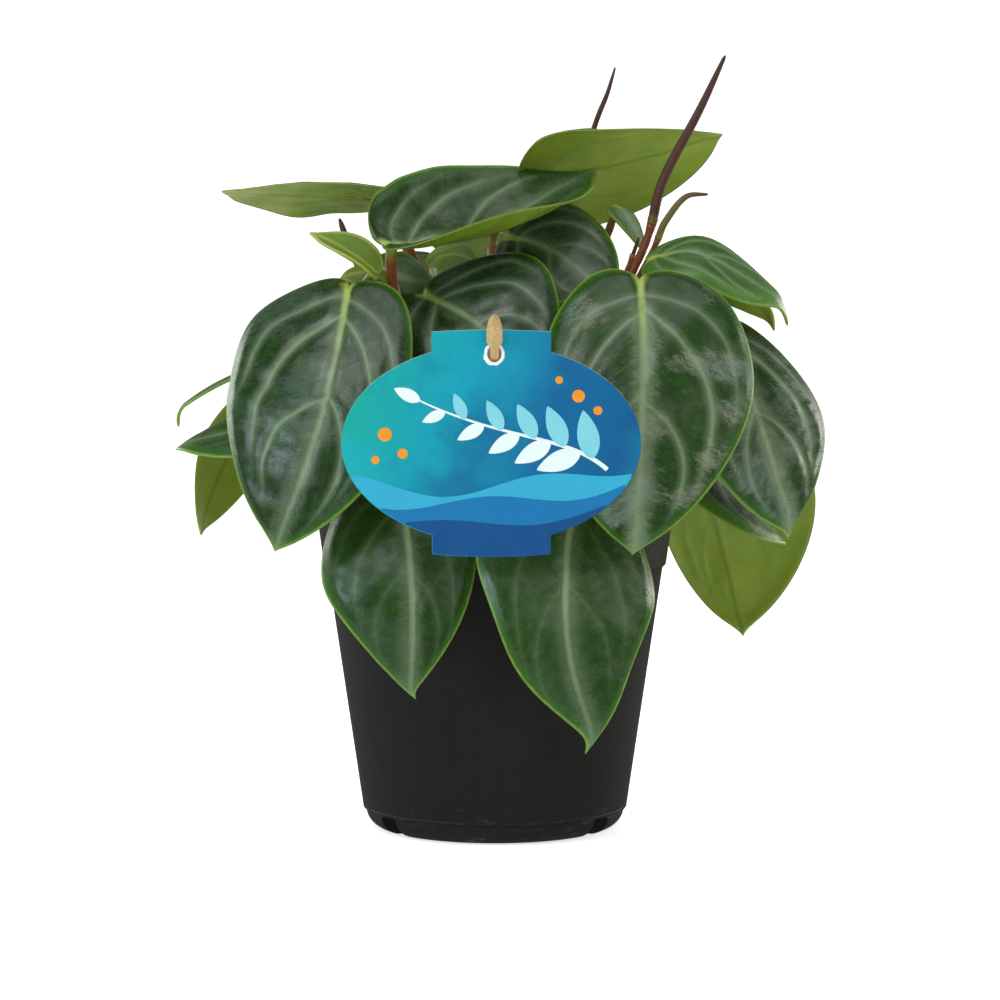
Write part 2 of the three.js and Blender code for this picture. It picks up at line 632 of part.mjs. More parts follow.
addPiece('pot', potGeometry(), potBlack);
addPiece('soil', soilGeometry(), soilBrown);
for (const [name, stem] of Object.entries(STEMS)) {
  addPiece(name, stemGeometry(name, stem), petioleRed);
}
for (const [name, leaf] of Object.entries(LEAVES)) {
  addPiece(name, leafGeometry(leaf), leaf.young ? youngGreen : leafGreen);
}
for (const [name, spike] of Object.entries(SPIKES)) {
  addPiece(name, spikeGeometry(spike), spikeBrown);
}
addPiece('label', labelGeometry(), labelBlue);
addPiece('label_stake', placedStake(0), woodPale);

export default plant;
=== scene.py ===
"""Looks of a potted peperomia: fleshy heart-shaped leaves, stems, spikes, pot, label and stake."""

import logging
import math
from dataclasses import dataclass, field
from enum import Enum

import bpy
import numpy as np
from bpy.types import Material, Node, NodeSocket as Socket, Object
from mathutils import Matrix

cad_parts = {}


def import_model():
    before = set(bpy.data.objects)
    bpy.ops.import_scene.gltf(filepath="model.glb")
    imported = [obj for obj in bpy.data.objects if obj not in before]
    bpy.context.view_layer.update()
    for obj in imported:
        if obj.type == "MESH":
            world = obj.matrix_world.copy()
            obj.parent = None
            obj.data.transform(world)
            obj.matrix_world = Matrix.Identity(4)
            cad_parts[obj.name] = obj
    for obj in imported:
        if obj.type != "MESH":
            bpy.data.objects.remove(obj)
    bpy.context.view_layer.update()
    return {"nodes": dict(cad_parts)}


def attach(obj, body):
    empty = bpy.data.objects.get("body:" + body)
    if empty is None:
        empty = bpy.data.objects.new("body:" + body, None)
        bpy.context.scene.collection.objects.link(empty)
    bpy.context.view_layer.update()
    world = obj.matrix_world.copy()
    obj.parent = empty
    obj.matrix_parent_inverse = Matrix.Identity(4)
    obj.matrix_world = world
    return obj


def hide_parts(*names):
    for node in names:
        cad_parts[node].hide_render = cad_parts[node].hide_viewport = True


LOG = logging.getLogger("peperomia")
Array = np.ndarray
Pair = tuple[Array, Array]
Solid = Pair  # points, and quads of their numbers
Colour = tuple[float, float, float, float]
Point = tuple[float, float, float]
Flat = tuple[float, float]  # right and up on the label

MM = 0.001
TURN = 2 * math.pi
HOOK_FROM = 0.86  # share of a leaf's length where its tip starts to bend down
DRIP_FROM, DRIP_REACH = 0.95, 5.5  # share where the drip tip starts to bend aside, and how soon
BODY = "root"
RENDER_SIDE = 1000  # pixels on each side of the picture


class Slot(Enum):
    """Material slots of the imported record."""

    POT = "pot_plastic"
    SOIL = "potting_mix"
    LEAF = "leaf"
    YOUNG = "young_leaf"
    PETIOLE = "petiole"
    SPIKE = "flower_spike"
    LABEL = "label_card"
    WOOD = "pale_wood"


class Shoot(Enum):
    """The three leafy stems, by the CAD node that each one stands for."""

    LEFT = "stem_left"
    RIGHT = "stem_right"
    BACK = "stem_back"


# ---------------------------------------------------------------- small helpers


def srgb(code: str) -> Colour:
    """A colour as Blender's linear numbers.

    Args:
        code: Six hexadecimal digits with a leading #.

    Returns:
        Linear red, green, blue and an alpha of one.
    """
    parts = [int(code[i : i + 2], 16) / 255 for i in (1, 3, 5)]
    linear = [p / 12.92 if p <= 0.04045 else ((p + 0.055) / 1.055) ** 2.4 for p in parts]
    return (*linear, 1.0)


def bezier(corners: Array | list | tuple, t: Array) -> Array:
    """Points of a cubic Bezier curve: (1-t)^3 a + 3(1-t)^2 t b + 3(1-t) t^2 c + t^3 d.

    Args:
        corners: The four control points, one a row.
        t: Places along the curve from 0 to 1.

    Returns:
        One point a row.
    """
    a, b, c, d = np.array(corners, float)
    s = np.asarray(t, float)[:, None]
    return (1 - s) ** 3 * a + 3 * (1 - s) ** 2 * s * b + 3 * (1 - s) * s**2 * c + s**3 * d


def unit(v: Array) -> Array:
    """The vectors in the last axis at length one."""
    return v / np.linalg.norm(v, axis=-1, keepdims=True)


def circle(count: int) -> Array:
    """Angles evenly round a circle, in radians."""
    return np.arange(count) * TURN / count


def hump(value: Array, width: float) -> Array:
    """A smooth hump, exp(-(value / width)^2), that is 1 where the value is 0."""
    return np.exp(-((value / width) ** 2))


def fall(value: Array, near: float, far: float) -> Array:
    """A smooth step that is 1 up to near and 0 from far on."""
    t = np.clip((far - value) / (far - near), 0, 1)
    return t * t * (3 - 2 * t)


def ripples(x: Array, y: Array, length: float, rng: np.random.Generator) -> Array:
    """Gentle unevenness: the mean of six sine waves with random directions and phases.

    Args:
        x: First coordinate.
        y: Second coordinate.
        length: Typical distance from crest to crest.
        rng: Seeded source of the directions and phases.

    Returns:
        Heights between about -1 and 1.
    """
    total = np.zeros(np.broadcast(x, y).shape)
    for _ in range(6):
        turn, phase = rng.uniform(0, TURN, 2)
        pitch = TURN / (length * rng.uniform(0.7, 1.5))
        total = total + np.sin(pitch * (np.cos(turn) * x + np.sin(turn) * y) + phase)
    return total / 3.5


def quads_of(index: Array, wrap: bool = False) -> Array:
    """The four-cornered faces of a grid of vertex numbers.

    Args:
        index: Vertex numbers, one grid row a row.
        wrap: Whether the last column joins the first one.

    Returns:
        One face a row, turning from each column to the next one and then to the next row.
    """
    ahead = np.roll(index, -1, axis=1) if wrap else index[:, 1:]
    here = index if wrap else index[:, :-1]
    corners = (here[:-1], ahead[:-1], ahead[1:], here[1:])
    return np.stack([c.ravel() for c in corners], axis=1)


def numbered(rings: Array) -> Array:
    """Vertex numbers of a grid of points, one grid row a row."""
    return np.arange(rings.shape[0] * rings.shape[1]).reshape(rings.shape[:2])


def compact(points: Array, quads: Array) -> Solid:
    """The points that any quad uses, and the quads with their new numbers."""
    used, where = np.unique(quads, return_inverse=True)
    return points[used], where.reshape(quads.shape)


def capped(rings: Array) -> Solid:
    """A closed body of rings, the first and the last of which are one point each.

    Args:
        rings: Points of each ring.

    Returns:
        Its points and quads.
    """
    index = numbered(rings)
    index[0], index[-1] = index[0, 0], index[-1, 0]
    return compact(rings.reshape(-1, 3), quads_of(index, wrap=True))


def ended(rings: Array, first: Array, last: Array) -> Solid:
    """A closed body of rings with one more point before the first and after the last.

    Args:
        rings: Points of each ring.
        first: Point that closes the first ring.
        last: Point that closes the last ring.

    Returns:
        Its points and quads.
    """
    index = numbered(rings)
    caps = [np.full(index.shape[1], index.size + k) for k in range(2)]
    index = np.vstack([caps[0], index, caps[1]])
    return np.vstack([rings.reshape(-1, 3), [first, last]]), quads_of(index, wrap=True)


def hooped(rings: Array, wrap: bool = True) -> Solid:
    """A body of rings, the last of which joins the first one; wrap closes each ring itself."""
    index = numbered(rings)
    return rings.reshape(-1, 3), quads_of(np.vstack([index, index[:1]]), wrap)


def tube(line: Array, radii: Array | list[float], sides: int) -> Solid:
    """A round tube closed at both ends: centre + radius (cos a * across + sin a * up).

    Args:
        line: Centres along the tube, one a row.
        radii: One radius for each centre, or one for each centre and side.
        sides: Corners of its cross-section.

    Returns:
        Its points and quads.
    """
    along = unit(np.gradient(line, axis=0))
    chord = line[-1] - line[0]
    plane = np.cross(chord, (0.0, 0.0, 1.0))
    if np.linalg.norm(plane) < 0.05 * np.linalg.norm(chord):
        plane = np.cross(chord, (0.0, 1.0, 0.0))
    across = unit(plane - (along @ plane)[:, None] * along)
    up = np.cross(along, across)
    angle = circle(sides)[None, :, None]
    radii = np.broadcast_to(np.asarray(radii, float).reshape(len(line), -1), (len(line), sides))
    ring = across[:, None] * np.cos(angle) + up[:, None] * np.sin(angle)
    return ended(line[:, None] + radii[..., None] * ring, line[0], line[-1])


def join_parts(parts: list[Solid]) -> Solid:
    """Puts several sets of points and quads into one.

    Args:
        parts: Points and quads of each part.

    Returns:
        All points and all quads, renumbered.
    """
    starts = np.cumsum([0] + [len(points) for points, _ in parts])
    quads = [faces + start for (_, faces), start in zip(parts, starts)]
    return np.vstack([points for points, _ in parts]), np.vstack(quads)


def leaning(degrees: float) -> Array:
    """Right, up and front of a sheet whose top leans back by degrees, one a row."""
    sine, cosine = math.sin(math.radians(90 + degrees)), math.cos(math.radians(90 + degrees))
    return np.array([[1.0, 0, 0], [0, cosine, sine], [0, -sine, cosine]])


def make_mesh(name: str, solid: Solid, slots: Array | None = None) -> Object:
    """Puts arrays into a new smooth mesh. A quad with two equal corners becomes a triangle.

    Args:
        name: Name of the piece.
        solid: Its points in millimetres and its quads.
        slots: Material index of each quad, if there are several.

    Returns:
        The new object, linked to the scene.
    """
    points, quads = solid
    kept = quads != np.roll(quads, 1, axis=1)
    sizes = kept.sum(axis=1)
    whole = sizes >= 3
    quads, kept, sizes = quads[whole], kept[whole], sizes[whole]
    mesh = bpy.data.meshes.new(name)
    mesh.vertices.add(len(points))
    mesh.vertices.foreach_set("co", (np.asarray(points, float) * MM).astype(np.float32).ravel())
    corners = quads[kept]
    mesh.loops.add(len(corners))
    mesh.loops.foreach_set("vertex_index", corners.astype(np.int32))
    mesh.polygons.add(len(sizes))
    starts = np.concatenate([[0], np.cumsum(sizes)[:-1]])
    mesh.polygons.foreach_set("loop_start", starts.astype(np.int32))
    if slots is not None:
        mesh.polygons.foreach_set("material_index", np.asarray(slots, np.int32)[whole])
    mesh.polygons.foreach_set("use_smooth", np.ones(len(sizes), bool))
    mesh.update(calc_edges=True)
    mesh.validate()
    return linked(name, mesh)


def linked(name: str, data: bpy.types.ID) -> Object:
    """A new object in the scene.

    Args:
        name: Its name.
        data: Its mesh, light or camera.

    Returns:
        The object.
    """
    made = bpy.data.objects.new(name, data)
    bpy.context.scene.collection.objects.link(made)
    return made


def add_vectors(piece: Object, name: str, *numbers: Array | float) -> None:
    """Stores three numbers for each vertex, for the finishes to read.

    Args:
        piece: The mesh object.
        name: Name of the attribute.
        *numbers: The three numbers, one for each vertex or one for all.
    """
    columns = [np.broadcast_to(number, len(piece.data.vertices)) for number in numbers]
    attribute = piece.data.attributes.new(name, "FLOAT_VECTOR", "POINT")
    attribute.data.foreach_set("vector", np.stack(columns, axis=1).astype(np.float32).ravel())


def settle(piece: Object, finishes: list[Material], slot: Slot, *nodes: str) -> None:
    """Dresses a finished piece and hands it to the frame.

    Args:
        piece: The mesh object, already in place.
        finishes: Its materials, in the order of its material indices.
        slot: The record's slot that it belongs to; not used.
        *nodes: CAD nodes that it stands for.
    """
    for finish in finishes:
        piece.data.materials.append(finish)
    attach(piece, BODY)
    if nodes:
        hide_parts(*nodes)
    LOG.info("%s: %d faces", piece.name, len(piece.data.polygons))


def cut(piece: Object, cutter: Object, sharp: float) -> None:
    """Takes a cutter away from a piece, for good.

    Args:
        piece: The mesh object.
        cutter: What is taken away, and then removed.
        sharp: Degrees above which edges stay crisp.
    """
    change = piece.modifiers.new("cut", "BOOLEAN")
    change.operation, change.solver, change.object = "DIFFERENCE", "EXACT", cutter
    graph = bpy.context.evaluated_depsgraph_get()
    made = bpy.data.meshes.new_from_object(piece.evaluated_get(graph))
    made.name = piece.name
    piece.modifiers.clear()
    piece.data = made
    bpy.data.objects.remove(cutter)
    piece.data.materials.clear()
    piece.data.set_sharp_from_angle(angle=math.radians(sharp))


def outward(piece: Object, sharp: float) -> None:
    """Turns all faces outward.

    Args:
        piece: The mesh object.
        sharp: Degrees above which edges stay crisp.
    """
    bpy.context.view_layer.objects.active = piece
    bpy.ops.object.mode_set(mode="EDIT")
    bpy.ops.mesh.select_all(action="SELECT")
    bpy.ops.mesh.normals_make_consistent(inside=False)
    bpy.ops.object.mode_set(mode="OBJECT")
    piece.data.set_sharp_from_angle(angle=math.radians(sharp))


# ---------------------------------------------------------------- materials


class Number:
    """A number in a finish's node tree: each sum, difference or product becomes a Math node."""

    def __init__(self, finish: "Finish", socket: Socket) -> None:
        """Wraps an output of one of the finish's nodes."""
        self.finish = finish
        self.socket = socket

    def __add__(self, other: "Number | float") -> "Number":
        """This number plus another."""
        return self.finish.math("ADD", self, other)

    def __radd__(self, other: float) -> "Number":
        """A plain number plus this one."""
        return self.finish.math("ADD", other, self)

    def __sub__(self, other: "Number | float") -> "Number":
        """This number less another."""
        return self.finish.math("SUBTRACT", self, other)

    def __rsub__(self, other: float) -> "Number":
        """A plain number less this one."""
        return self.finish.math("SUBTRACT", other, self)

    def __mul__(self, other: "Number | float") -> "Number":
        """This number times another."""
        return self.finish.math("MULTIPLY", self, other)

    def __abs__(self) -> "Number":
        """This number without its sign."""
        return self.finish.math("ABSOLUTE", self)

    def clamped(self) -> "Number":
        """This number, held between 0 and 1 by the Math node that it comes from."""
        self.socket.node.use_clamp = True
        return self

    def step(self, near: "Number | float", far: "Number | float", top: float = 1.0) -> "Number":
        """A smooth step from top at near to nothing at far.

        Args:
            near: Where it is full.
            far: Where it is gone.
            top: Its full height.

        Returns:
            The step's height.
        """
        numbers = {"Value": self, "From Min": near, "From Max": far, "To Min": top, "To Max": 0.0}
        node = self.finish.node("MapRange", **numbers)
        node.interpolation_type = "SMOOTHSTEP"
        return Number(self.finish, node.outputs[0])


class Finish:
    """A material: a node tree round one Principled shader. Each finish paints it in its own way."""

    name = "plain"

    def __init__(self) -> None:
        """Makes the material and paints it."""
        self.material = bpy.data.materials.new(self.name)
        self.material.use_nodes = True
        self.tree = self.material.node_tree
        self.tree.nodes.clear()
        self.surface = self.tree.nodes.new("ShaderNodeBsdfPrincipled")
        output = self.tree.nodes.new("ShaderNodeOutputMaterial")
        self.tree.links.new(self.surface.outputs[0], output.inputs[0])
        self.paint()

    def paint(self) -> None:
        """Lays the colours, the roughness and the relief."""
        raise NotImplementedError

    def put(self, socket: Socket, value: Number | Socket | float | Colour | Point) -> None:
        """Links an input, or sets its number.

        Args:
            socket: The input.
            value: What goes into it.
        """
        value = value.socket if isinstance(value, Number) else value
        if isinstance(value, Socket):
            self.tree.links.new(value, socket)
        else:
            socket.default_value = value

    def node(self, kind: str, **inputs: Number | Socket | float | Point) -> Node:
        """A new node.

        Args:
            kind: The end of its type's name.
            **inputs: What goes into its inputs, by name.

        Returns:
            The node.
        """
        node = self.tree.nodes.new("ShaderNode" + kind)
        for name, value in inputs.items():
            self.put(node.inputs[name], value)
        return node

    def set(self, **inputs: Number | Socket | float | Colour) -> None:
        """Sets the shader's own inputs, named with underscores for spaces."""
        for name, value in inputs.items():
            self.put(self.surface.inputs[name.replace("_", " ")], value)

    def math(self, kind: str, *numbers: Number | float) -> Number:
        """One Math node.

        Args:
            kind: Its operation.
            *numbers: The one or two numbers that it works on.

        Returns:
            The result.
        """
        node = self.node("Math")
        node.operation = kind
        for socket, number in zip(node.inputs, numbers):
            self.put(socket, number)
        return Number(self, node.outputs[0])

    def most(self, first: Number, *others: Number) -> Number:
        """The greatest of several numbers."""
        return self.math("MAXIMUM", first, self.most(*others)) if others else first

    def mix(self, share: Number, a: Socket | Colour, b: Socket | Colour) -> Socket:
        """A colour between two others.

        Args:
            share: How much of the second one.
            a: First colour.
            b: Second colour.

        Returns:
            The mixed colour.
        """
        node = self.node("Mix")
        node.data_type = "RGBA"
        for number, value in ((0, share), (6, a), (7, b)):
            self.put(node.inputs[number], value)
        return node.outputs[2]

    def ramp(self, value: Number, *stops: tuple[float, Colour]) -> Socket:
        """Colours laid along a number.

        Args:
            value: Place on the ramp.
            *stops: Place and colour of each stop, in order.

        Returns:
            The colour.
        """
        node = self.node("ValToRGB", Fac=value)
        elements = node.color_ramp.elements
        while len(elements) < len(stops):
            elements.new(0.5)
        for element, (position, colour) in zip(elements, stops):
            element.position, element.color = position, colour
        return node.outputs[0]

    def noise(self, vector: Socket, scale: float, detail: float, rough: float) -> Number:
        """Noise between 0 and 1, with its scale, its finer layers and their weight."""
        node = self.node("TexNoise", Vector=vector, Scale=scale, Detail=detail, Roughness=rough)
        return Number(self, node.outputs[0])

    def cells(self, vector: Socket, scale: float) -> Number:
        """Distance to the nearest of scattered points, scale of them to a unit of length."""
        return Number(self, self.node("TexVoronoi", Vector=vector, Scale=scale).outputs[0])

    def place(self) -> Socket:
        """Object coordinates, in metres."""
        return self.node("TexCoord").outputs["Object"]

    def mapped(self, vector: Socket, scale: Point, turn: Point = (0.0, 0.0, 0.0)) -> Socket:
        """Coordinates turned by angles in radians and stretched by factors, axis by axis."""
        return self.node("Mapping", Vector=vector, Rotation=turn, Scale=scale).outputs[0]

    def parts(self, vector: Socket) -> list[Number]:
        """The three numbers of a vector."""
        return [Number(self, part) for part in self.node("SeparateXYZ", Vector=vector).outputs]

    def joined(self, x: Number, y: Number, z: Number | float) -> Socket:
        """A vector from three numbers."""
        return self.node("CombineXYZ", X=x, Y=y, Z=z).outputs[0]

    def stored(self, name: str) -> list[Number]:
        """The three numbers of a mesh attribute.

        Args:
            name: Name of the attribute.

        Returns:
            Its numbers.
        """
        node = self.node("Attribute")
        node.attribute_name = name
        return self.parts(node.outputs["Vector"])

    def bump(self, height: Number, depth: float, strength: float) -> None:
        """Fine relief: heights from 0 to 1, their depth in metres and how much of it is felt."""
        relief = self.node("Bump", Strength=strength, Distance=depth, Height=height)
        self.set(Normal=relief.outputs[0])


class LeafTopFinish(Finish):
    """The glossy upper face of a leaf: dark green, silvery frost patches with painted sheen, pale
    feathered veins.
    """

    name = "leaf_top_green"
    deep, fresh = srgb("#11290a"), srgb("#3c7016")
    # Frost colours: partly real silvery frosting, partly painted sheen that stands in for lamp
    # reflections, warm grey and cool blue-grey.
    frost_warm, frost_cool = srgb("#727964"), srgb("#647a6c")
    vein, rib_base, rib_tip = srgb("#869c79"), srgb("#9db34e"), srgb("#80936f")
    margin, margin_band, margin_wide = srgb("#71903a"), srgb("#2d5c19"), srgb("#5a8a2c")
    usual_band = 4.2

    def paint(self) -> None:
        """Lays frost with painted sheen, veins, midrib and margin over the green, as the leaf's
        attributes say.
        """
        x, y, rim = self.stored("leaf_flat")
        share, tone, silver_and_sheen = self.stored("leaf_mood")
        band = self.stored("leaf_more")[1]
        off, seed = abs(y), tone * 137.0
        flat = self.joined(x, y, seed)
        patch = self.noise(flat, 0.06, 2.0, 0.5)
        mottle = self.noise(flat, 0.30, 4.0, 0.62)
        grain = self.noise(flat, 2.2, 3.0, 0.65)
        slant = x - off * 0.55 + mottle * 7.0
        half = seed + self.math("SIGN", y) * 9.0
        hair = self.noise(self.joined(slant * 1.5, off * 0.2, half), 1.0, 4.0, 0.7)
        ragged = hair - 0.5
        cores, halos = [], []
        for distance, fade in zip(self.stored("leaf_vein"), self.stored("leaf_fade")):
            far = abs(distance)
            cores.append((far + ragged * 0.8).step(0.0, 1.1) * fade)
            halos.append((far + ragged * 2.4).step(0.2, 3.0) * fade)
        core, halo = self.most(*cores), self.most(*halos)
        # Frost patches: partly real silvery variegation, partly painted sheen where the leaf would
        # mirror the lamps.
        frost = (patch + ragged * 0.42).step(0.64, 0.46) * silver_and_sheen * rim.step(3.0, 1.2, -1.0)
        frost = abs(frost) * (0.22 + hair.step(0.62, 0.36, 0.62))
        wing = (off + ragged * 9.0).step(0.6, 5.8, 0.42)
        wing = (wing + wing * share.step(0.05, 0.15, -1.0)) * (0.4 + silver_and_sheen * 0.7)
        lively = (tone + (mottle - 0.5) * 0.5).clamped()
        colour = self.mix(lively, self.deep, self.fresh)
        # Share of the frost and painted sheen that turns cool blue-grey, as a painted reflection of
        # daylight.
        cool = self.noise(flat, 0.045, 1.0, 0.5).step(0.56, 0.44)
        colour = self.mix(frost, colour, self.mix(cool, self.frost_warm, self.frost_cool))
        wide = ((band - self.usual_band) * 0.14).clamped()
        banded = rim.step(1.0 + wide * 3.0, band, 0.75)
        colour = self.mix(banded, colour, self.mix(wide, self.margin_band, self.margin_wide))
        colour = self.mix(self.most(wing, halo * 0.28), colour, self.vein)
        colour = self.mix(core * 0.42, colour, self.vein)
        rib = (off + ragged * (share * 1.6)).step(0.2, 1.8 - share * 0.6) * (0.92 - share * 0.66)
        rib_colour = self.mix((share * 3.4).clamped(), self.rib_base, self.rib_tip)
        colour = self.mix(rib, colour, rib_colour)
        colour = self.mix((abs(x) * 0.45 + off).step(0.8, 3.6, 0.75), colour, self.rib_base)
        trim = (rim + (mottle - 0.5) * 1.2).step(0.3, 1.4, 0.75)
        self.set(Base_Color=self.mix(trim, colour, self.margin), Specular_IOR_Level=0.4)
        self.set(Roughness=0.10 + grain * 0.16 + mottle * 0.14 + frost * 0.3)
        self.bump(hair * 0.8 + grain * 0.35 - core * 0.5, 0.00022, 0.5)


class LeafUnderFinish(Finish):
    """The matt underside of a leaf: yellow-green with hardly darker veins."""

    name = "leaf_underside"
    body, light, bleach = srgb("#517110"), srgb("#8ba034"), srgb("#a3ad72")
    vein, margin, speck = srgb("#435e0c"), srgb("#869c38"), srgb("#463a18")

    def paint(self) -> None:
        """Lays veins, bleached patches, specks and margin over the green, as the attributes say."""
        x, y, rim = self.stored("leaf_flat")
        share, tone, _ = self.stored("leaf_mood")
        worn = self.stored("leaf_more")[0]
        flat = self.joined(x, y, tone * 137.0)
        blotch = self.noise(flat, 0.08, 4.0, 0.6)
        grain = self.noise(flat, 1.9, 4.0, 0.65)
        light = (blotch * 0.9 + share * 0.25 + (tone - 0.3) * 1.2).clamped()
        stored_veins = zip(self.stored("leaf_vein"), self.stored("leaf_fade"))
        lines = [abs(distance).step(0.1, 1.0) * fade for distance, fade in stored_veins]
        veins = self.most(self.most(*lines) * 0.16, abs(y).step(0.25, 1.1, 0.4))
        colour = self.mix(veins, self.mix(light, self.body, self.light), self.vein)
        colour = self.mix(worn * (share + blotch).step(1.65, 1.05, 0.9), colour, self.bleach)
        specks = self.noise(self.mapped(flat, (0.5, 1.0, 1.0)), 0.45, 3.0, 0.6).step(0.62, 0.56)
        colour = self.mix(specks * share.step(0.25, 0.55) * worn, colour, self.speck)
        self.set(Base_Color=self.mix(rim.step(0.3, 1.2, 0.6), colour, self.margin))
        self.set(Roughness=0.36 + grain * 0.18, Specular_IOR_Level=0.4)
        self.bump(grain * 0.4 + veins, 0.00015, 0.5)


class YoungLeafFinish(Finish):
    """A young leaf: bright yellow-green with a paler keel."""

    name = "young_leaf_green"
    body, light = srgb("#4f7519"), srgb("#959f42")

    def paint(self) -> None:
        """Lays the keel, the margin and fine streaks, as the leaf's attributes say."""
        x, y, rim = self.stored("leaf_flat")
        streak = self.noise(self.mapped(self.joined(x, y, 3.0), (0.2, 1.6, 1.0)), 1.0, 3.0, 0.6)
        pale = self.most(abs(y).step(0.2, 1.3, 0.7), rim.step(0.3, 1.2, 0.8))
        self.set(Base_Color=self.mix((pale + streak * 0.35).clamped(), self.body, self.light))
        self.set(Roughness=0.34 + streak * 0.15, Specular_IOR_Level=0.45)
        self.bump(streak, 0.00015, 0.5)


class PetioleFinish(Finish):
    """Red-brown fleshy stalks that turn green where they meet their leaves."""

    name = "petiole_red"
    root, middle = srgb("#44200f"), srgb("#7a3018")
    joint, leaf_end = srgb("#8a4a22"), srgb("#879a3f")

    def paint(self) -> None:
        """Lays the colours along each stalk."""
        along, _, _ = self.stored("stalk_share")
        fine = self.noise(self.mapped(self.place(), (1.0, 1.0, 0.25)), 900.0, 3.0, 0.6)
        shifted = along + (self.noise(self.place(), 120.0, 2.0, 0.5) - 0.5) * 0.16
        stops = (0.0, self.root), (0.45, self.middle), (0.9, self.joint), (1.0, self.leaf_end)
        self.set(Base_Color=self.mix(fine * 0.35, self.ramp(shifted, *stops), self.root))
        self.set(Roughness=0.32 + fine * 0.2, Specular_IOR_Level=0.5)
        self.bump(fine, 0.00015, 0.5)


class SpikeFinish(Finish):
    """A dry brown flower spike, grainy with its tiny flowers."""

    name = "spike_brown"
    foot, low, high = srgb("#6b6128"), srgb("#44210f"), srgb("#35190e")
    green, grain = srgb("#76732e"), srgb("#6b4225")

    def paint(self) -> None:
        """Lays the colours along the spike, greener on a young one, and lifts each flower."""
        along, youth, _ = self.stored("stalk_share")
        stops = (0.0, self.foot), (0.03, self.foot), (0.09, self.low), (1.0, self.high)
        green = (youth * (1.15 - along).clamped()).clamped()
        colour = self.mix(green, self.ramp(along, *stops), self.green)
        bead = self.cells(self.place(), 1500.0)
        speck = self.noise(self.place(), 1100.0, 3.0, 0.6)
        lifted = (1.0 - bead).clamped() * 0.45 * speck
        self.set(Base_Color=self.mix(lifted, colour, self.grain), Roughness=0.5 + speck * 0.2)
        self.bump(1.0 - bead, 0.0002, 0.7)


class PotFinish(Finish):
    """Matt black moulded plastic, a little greyer and scuffed low down."""

    name = "pot_black"
    body, worn, dust = srgb("#141413"), srgb("#242321"), srgb("#4c4943")

    def paint(self) -> None:
        """Lays cloudy grey and dusty scuffs over the black."""
        place = self.place()
        cloud = self.noise(place, 22.0, 4.0, 0.6)
        moulding = self.noise(self.mapped(place, (1.0, 1.0, 0.12)), 160.0, 3.0, 0.6)
        speck = self.noise(place, 1900.0, 2.0, 0.6)
        colour = self.mix((cloud + moulding) * 0.32, self.body, self.worn)
        low = self.parts(place)[2].step(0.004, 0.016, 0.55)
        scuff = self.noise(self.mapped(place, (1.0, 1.0, 5.0)), 210.0, 4.0, 0.7).step(0.70, 0.56)
        dusty = scuff * (low + 0.07)
        self.set(Base_Color=self.mix(dusty, colour, self.dust), Specular_IOR_Level=0.3)
        self.set(Roughness=0.46 + cloud * 0.14 + dusty * 0.2)
        self.bump(speck * 0.5 + moulding * 0.4, 0.00012, 0.5)


class SoilFinish(Finish):
    """Damp dark potting mix."""

    name = "potting_mix"
    dark, brown, chip = srgb("#1d140e"), srgb("#4a3524"), srgb("#7a6145")

    def paint(self) -> None:
        """Lays paler chips over dark clods."""
        place = self.place()
        clod, chips = self.noise(place, 260.0, 4.0, 0.65), self.cells(place, 420.0)
        colour = self.mix(clod, self.dark, self.brown)
        self.set(Base_Color=self.mix(chips.step(0.05, 0.3, 0.4), colour, self.chip))
        self.set(Roughness=0.75 + clod * 0.2, Specular_IOR_Level=0.25)
        self.bump(clod + chips, 0.0008, 0.8)


class PerliteFinish(Finish):
    """Pale puffed grains in the potting mix."""

    name = "perlite"
    pale, soiled = srgb("#d8d4c8"), srgb("#8f8471")

    def paint(self) -> None:
        """Lays soiled pits into the pale grains."""
        pits = self.noise(self.place(), 1400.0, 4.0, 0.7)
        self.set(Base_Color=self.mix(pits.step(0.62, 0.4), self.soiled, self.pale))
        self.set(Roughness=0.7 + pits * 0.2)
        self.bump(pits, 0.0003, 0.8)


class CardFinish(Finish):
    """The label's printed face: teal that runs into deep blue, with a worn, clouded print."""

    name = "card_print"
    teal, cyan, blue, navy = srgb("#0f9c8b"), srgb("#068fa2"), srgb("#07618f"), srgb("#05497b")
    worn, glow = srgb("#0a3d74"), srgb("#169fb5")
    middle_height = 0.134

    def paint(self) -> None:
        """Lays the colours slantwise over the card, with a pale cloud, dark blots and grit."""
        place = self.place()
        x, _, z = self.parts(place)
        cloud = self.noise(place, 34.0, 5.0, 0.62)
        slide = (x * 9.0 + (self.middle_height - z) * 3.6 + (cloud - 0.5) * 0.35 + 0.5).clamped()
        stops = (0.0, self.teal), (0.32, self.cyan), (0.62, self.blue), (1.0, self.navy)
        glow = self.noise(place, 21.0, 2.0, 0.5).step(0.68, 0.46, 0.4)
        colour = self.mix(glow, self.ramp(slide, *stops), self.glow)
        grit = self.noise(place, 620.0, 3.0, 0.7).step(0.74, 0.58, 0.28)
        blot = cloud.step(0.66, 0.48, 0.35)
        self.set(Base_Color=self.mix(self.most(grit, blot), colour, self.worn))
        self.set(Roughness=0.36 + cloud * 0.12, Specular_IOR_Level=0.15)
        self.bump(self.noise(place, 2400.0, 2.0, 0.5), 0.00004, 0.5)


